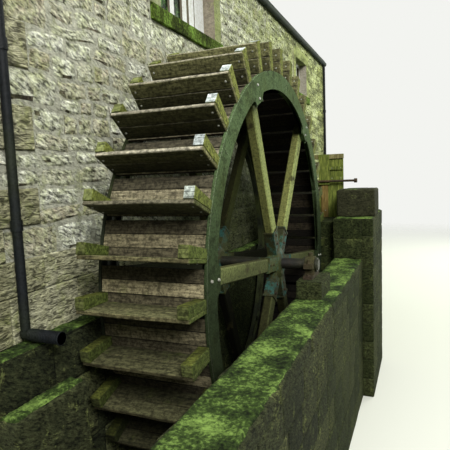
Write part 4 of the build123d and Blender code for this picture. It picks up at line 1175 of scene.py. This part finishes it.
# %% Gutter straps and pipe ribs
STRAP_EVERY, STRAP_W = 0.9, 0.03
RIB_EVERY = 0.0145
bm = bmesh.new()
for node in ("gutter_wheel_side", "gutter_back"):
    low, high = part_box(node)
    for y, _ in split(low[1] + 0.3, high[1] - 0.3, STRAP_EVERY, 0.0):
        for z, depth in ((low[2] - 0.003, 0.006), (high[2] + 0.002, 0.004)):
            block(bm, ((low[0] + high[0]) / 2, y, z), (high[0] - low[0], STRAP_W, depth))
soften(bm, 0.001, 1)
piece("gutter_straps", bm, "mill", gutter_paint)
bm = bmesh.new()
pipe_low, pipe_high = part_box("downpipe_near")
run_z, run_y = pipe_low[2] + 0.043, (pipe_low[1] + pipe_high[1]) / 2
rings = [(pipe_low[0] + 0.12 + i * RIB_EVERY, 0.0465, 0.007) for i in range(18)]
rings.append((pipe_high[0] - 0.004, 0.05, 0.008))
for x, radius, width in rings:
    bmesh.ops.create_cone(bm, cap_ends=True, segments=28, radius1=radius, radius2=radius, depth=width,
                          matrix=Matrix.Translation((x, run_y, run_z)) @ Matrix.Rotation(math.pi / 2, 4, "Y"))
soften(bm, 0.002, 1)
piece("pipe_ribs", bm, "mill", pipe_black, smooth=True)

# %% [markdown]
# ## Ironwork
# Nuts hold the bearing caps down, two on each cap, and bolts stand in the feet of the blocks. Two
# bolts hold each arm in its socket of the hub.

# %% Bearing nuts and hub bolts
WHEEL_W, SOCKET_IN = 0.99, 0.055      # width of the wheel, and its sockets' faces inside its own
bm = bmesh.new()
for node in ("bearing_cap", "wall_bearing_cap"):
    low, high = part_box(node)
    middle_x, middle_y = (low[0] + high[0]) / 2, (low[1] + high[1]) / 2
    for side in (-1, 1):
        place = Vector((middle_x, middle_y + side * 0.122, HUB.z + 0.028))
        bolt_head(bm, place, Z, 0.021, 0.020, 6)
        bmesh.ops.create_cone(bm, cap_ends=True, segments=12, radius1=0.011, radius2=0.011, depth=0.03,
                              matrix=Matrix.Translation(place + Z * 0.032))
        bolt_head(bm, (middle_x, middle_y + side * 0.15, HUB.z - 0.106), Z, 0.019, 0.018, 6)
piece("bearing_nuts", bm, "mill", bearing_iron)
bm = bmesh.new()
for face_x, side in ((HUB.x - SOCKET_IN, 1), (HUB.x - WHEEL_W + SOCKET_IN, -1)):
    for angle in ARM_ANGLES:
        for reach in (0.27, 0.38):
            centre = HUB + outwards(angle) * reach
            centre.x = face_x - SUNK * side
            bolt_head(bm, centre, X * side, 0.017, 0.016, 6)
piece("hub_bolts", bm, "wheel", bearing_iron)

# %% [markdown]
# ## Door
# The door is a guess, a plain ledged one: six planks side by side, hung on two long strap hinges
# and closed with a latch.

# %% Door planks and ironwork
PLANKS = 6
leaf_low, leaf_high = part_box("door_leaf")
leaf_size = Vector(leaf_high) - Vector(leaf_low)
middle = (Vector(leaf_low) + Vector(leaf_high)) / 2
plank = leaf_size.y / PLANKS
bm = bmesh.new()
for i in range(PLANKS):
    middle.y = leaf_low[1] + plank * (i + 0.5)
    block(bm, middle, (leaf_size.x, plank - 0.003, leaf_size.z))
give_tones(bm)
soften(bm, 0.004, 1)
piece("door_planks", bm, "mill", door_paint, ("door_leaf",))
bm = bmesh.new()
HINGES = (leaf_low[2] + 0.32, leaf_high[2] - 0.32)
IRON_X = leaf_low[0] - 0.003
latch = Vector((IRON_X, leaf_high[1] - 0.09, leaf_low[2] + 0.95))
for z in HINGES:
    block(bm, (IRON_X, leaf_low[1] + 0.36, z), (0.008, 0.68, 0.045))
block(bm, latch, (0.008, 0.05, 0.16))
soften(bm, 0.002, 1)
bolt_head(bm, latch + Vector((-0.003, 0, 0.02)), -X, 0.02, 0.035, 12)
for z in HINGES:
    for reach in (0.06, 0.24, 0.42, 0.6):
        bolt_head(bm, (IRON_X - 0.003, leaf_low[1] + reach, z), -X, 0.009, 0.006, 8)
piece("door_ironwork", bm, "mill", rusted_rod)

# %% Sluice bolts
bm = bmesh.new()
# Of each node with bolts: how far they stand in from its foot, its head and its sides, their size.
for node, foot, head, aside, radius, height in (("sluice_battens", 0.03, 0.03, 0.04, 0.009, 0.007),
                                                ("sluice_posts", 0.12, 0.08, 0.05, 0.011, 0.009)):
    low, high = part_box(node)
    for z in (low[2] + foot, high[2] - head):
        for x in (low[0] + aside, high[0] - aside):
            bolt_head(bm, (x, low[1], z), -Y, radius, height, 8)
piece("sluice_bolts", bm, "mill", bolt_iron)

# %% [markdown]
# ## Floor and light
# The model stands on a plain pale floor. The light comes down from all of the sky and little of it
# comes back from below, so undersides are nearly black. The floor is therefore pale only where the
# camera or a reflection sees it, and dark to the light that bounces. The sky is pale to the camera
# in the same way, bright above and dim below to the object.

# %% Floor
def seen_plainly(material):
    """1 to the camera, to a reflection and through glass, 0 to light that bounces."""
    seen = add(material, "LightPath", out="Is Camera Ray")
    for ray in ("Is Glossy Ray", "Is Transmission Ray"):
        seen = add(material, "Math", [seen, add(material, "LightPath", out=ray)], operation="MAXIMUM")
    return seen


bm = bmesh.new()
bmesh.ops.create_grid(bm, x_segments=1, y_segments=1, size=60)
floor_mesh = bpy.data.meshes.new("floor")
bm.to_mesh(floor_mesh)
bm.free()
floor = bpy.data.objects.new("floor", floor_mesh)
bpy.context.collection.objects.link(floor)
pale, place, _ = new_material("pale_floor")
finish(pale, add(pale, "Mix", {0: seen_plainly(pale), 6: "#2A2C1E", 7: "#E2E3DC"}, **MIX), 0.95)
reach = add(pale, "VectorMath", [place], operation="LENGTH", out=1)
gone = add(pale, "MapRange", [reach, 12.0, 26.0])
shader = pale.node_tree.nodes["Principled BSDF"].outputs[0]
faded = add(pale, "MixShader", [gone, shader, add(pale, "BsdfTransparent")])
feed(pale, pale.node_tree.nodes["Material Output"].inputs["Surface"], faded)
floor_mesh.materials.append(pale)


# %% Lamps and sky
def lamp(name, place, aim, size, power, tint):
    """A square soft light at a place, turned towards its aim."""
    data = bpy.data.lights.new(name, "AREA")
    data.size = size
    data.energy = power
    data.color = srgb(tint)[:3]
    obj = bpy.data.objects.new(name, data)
    bpy.context.collection.objects.link(obj)
    obj.location = place
    obj.rotation_euler = (Vector(aim) - Vector(place)).to_track_quat("-Z", "Y").to_euler()


lamp("key", (14, -16, 15), (2.5, -3, 3), 8, 4900, "#FFFEF8")
lamp("clearing", (12, 15, 8), (2.5, -2, 3), 8, 1300, "#FAFFF0")
world = bpy.data.worlds.new("sky")
bpy.context.scene.world = world
world.use_nodes = True
sky = world.node_tree.nodes["Background"]
sky.inputs["Strength"].default_value = 1.0
up = add(world, "TexCoord", out="Generated")
up = add(world, "SeparateXYZ", {"Vector": up}, out=2)
dome = add(world, "ValToRGB", {"Fac": up}, stops=[(0.0, "#060704"), (0.2, "#5F6656"), (0.6, "#F4F7EF")])
feed(world, sky.inputs["Color"], add(world, "Mix", {0: seen_plainly(world), 6: dome, 7: "#F3F4F0"}, **MIX))
bpy.context.scene.view_settings.view_transform = "Standard"
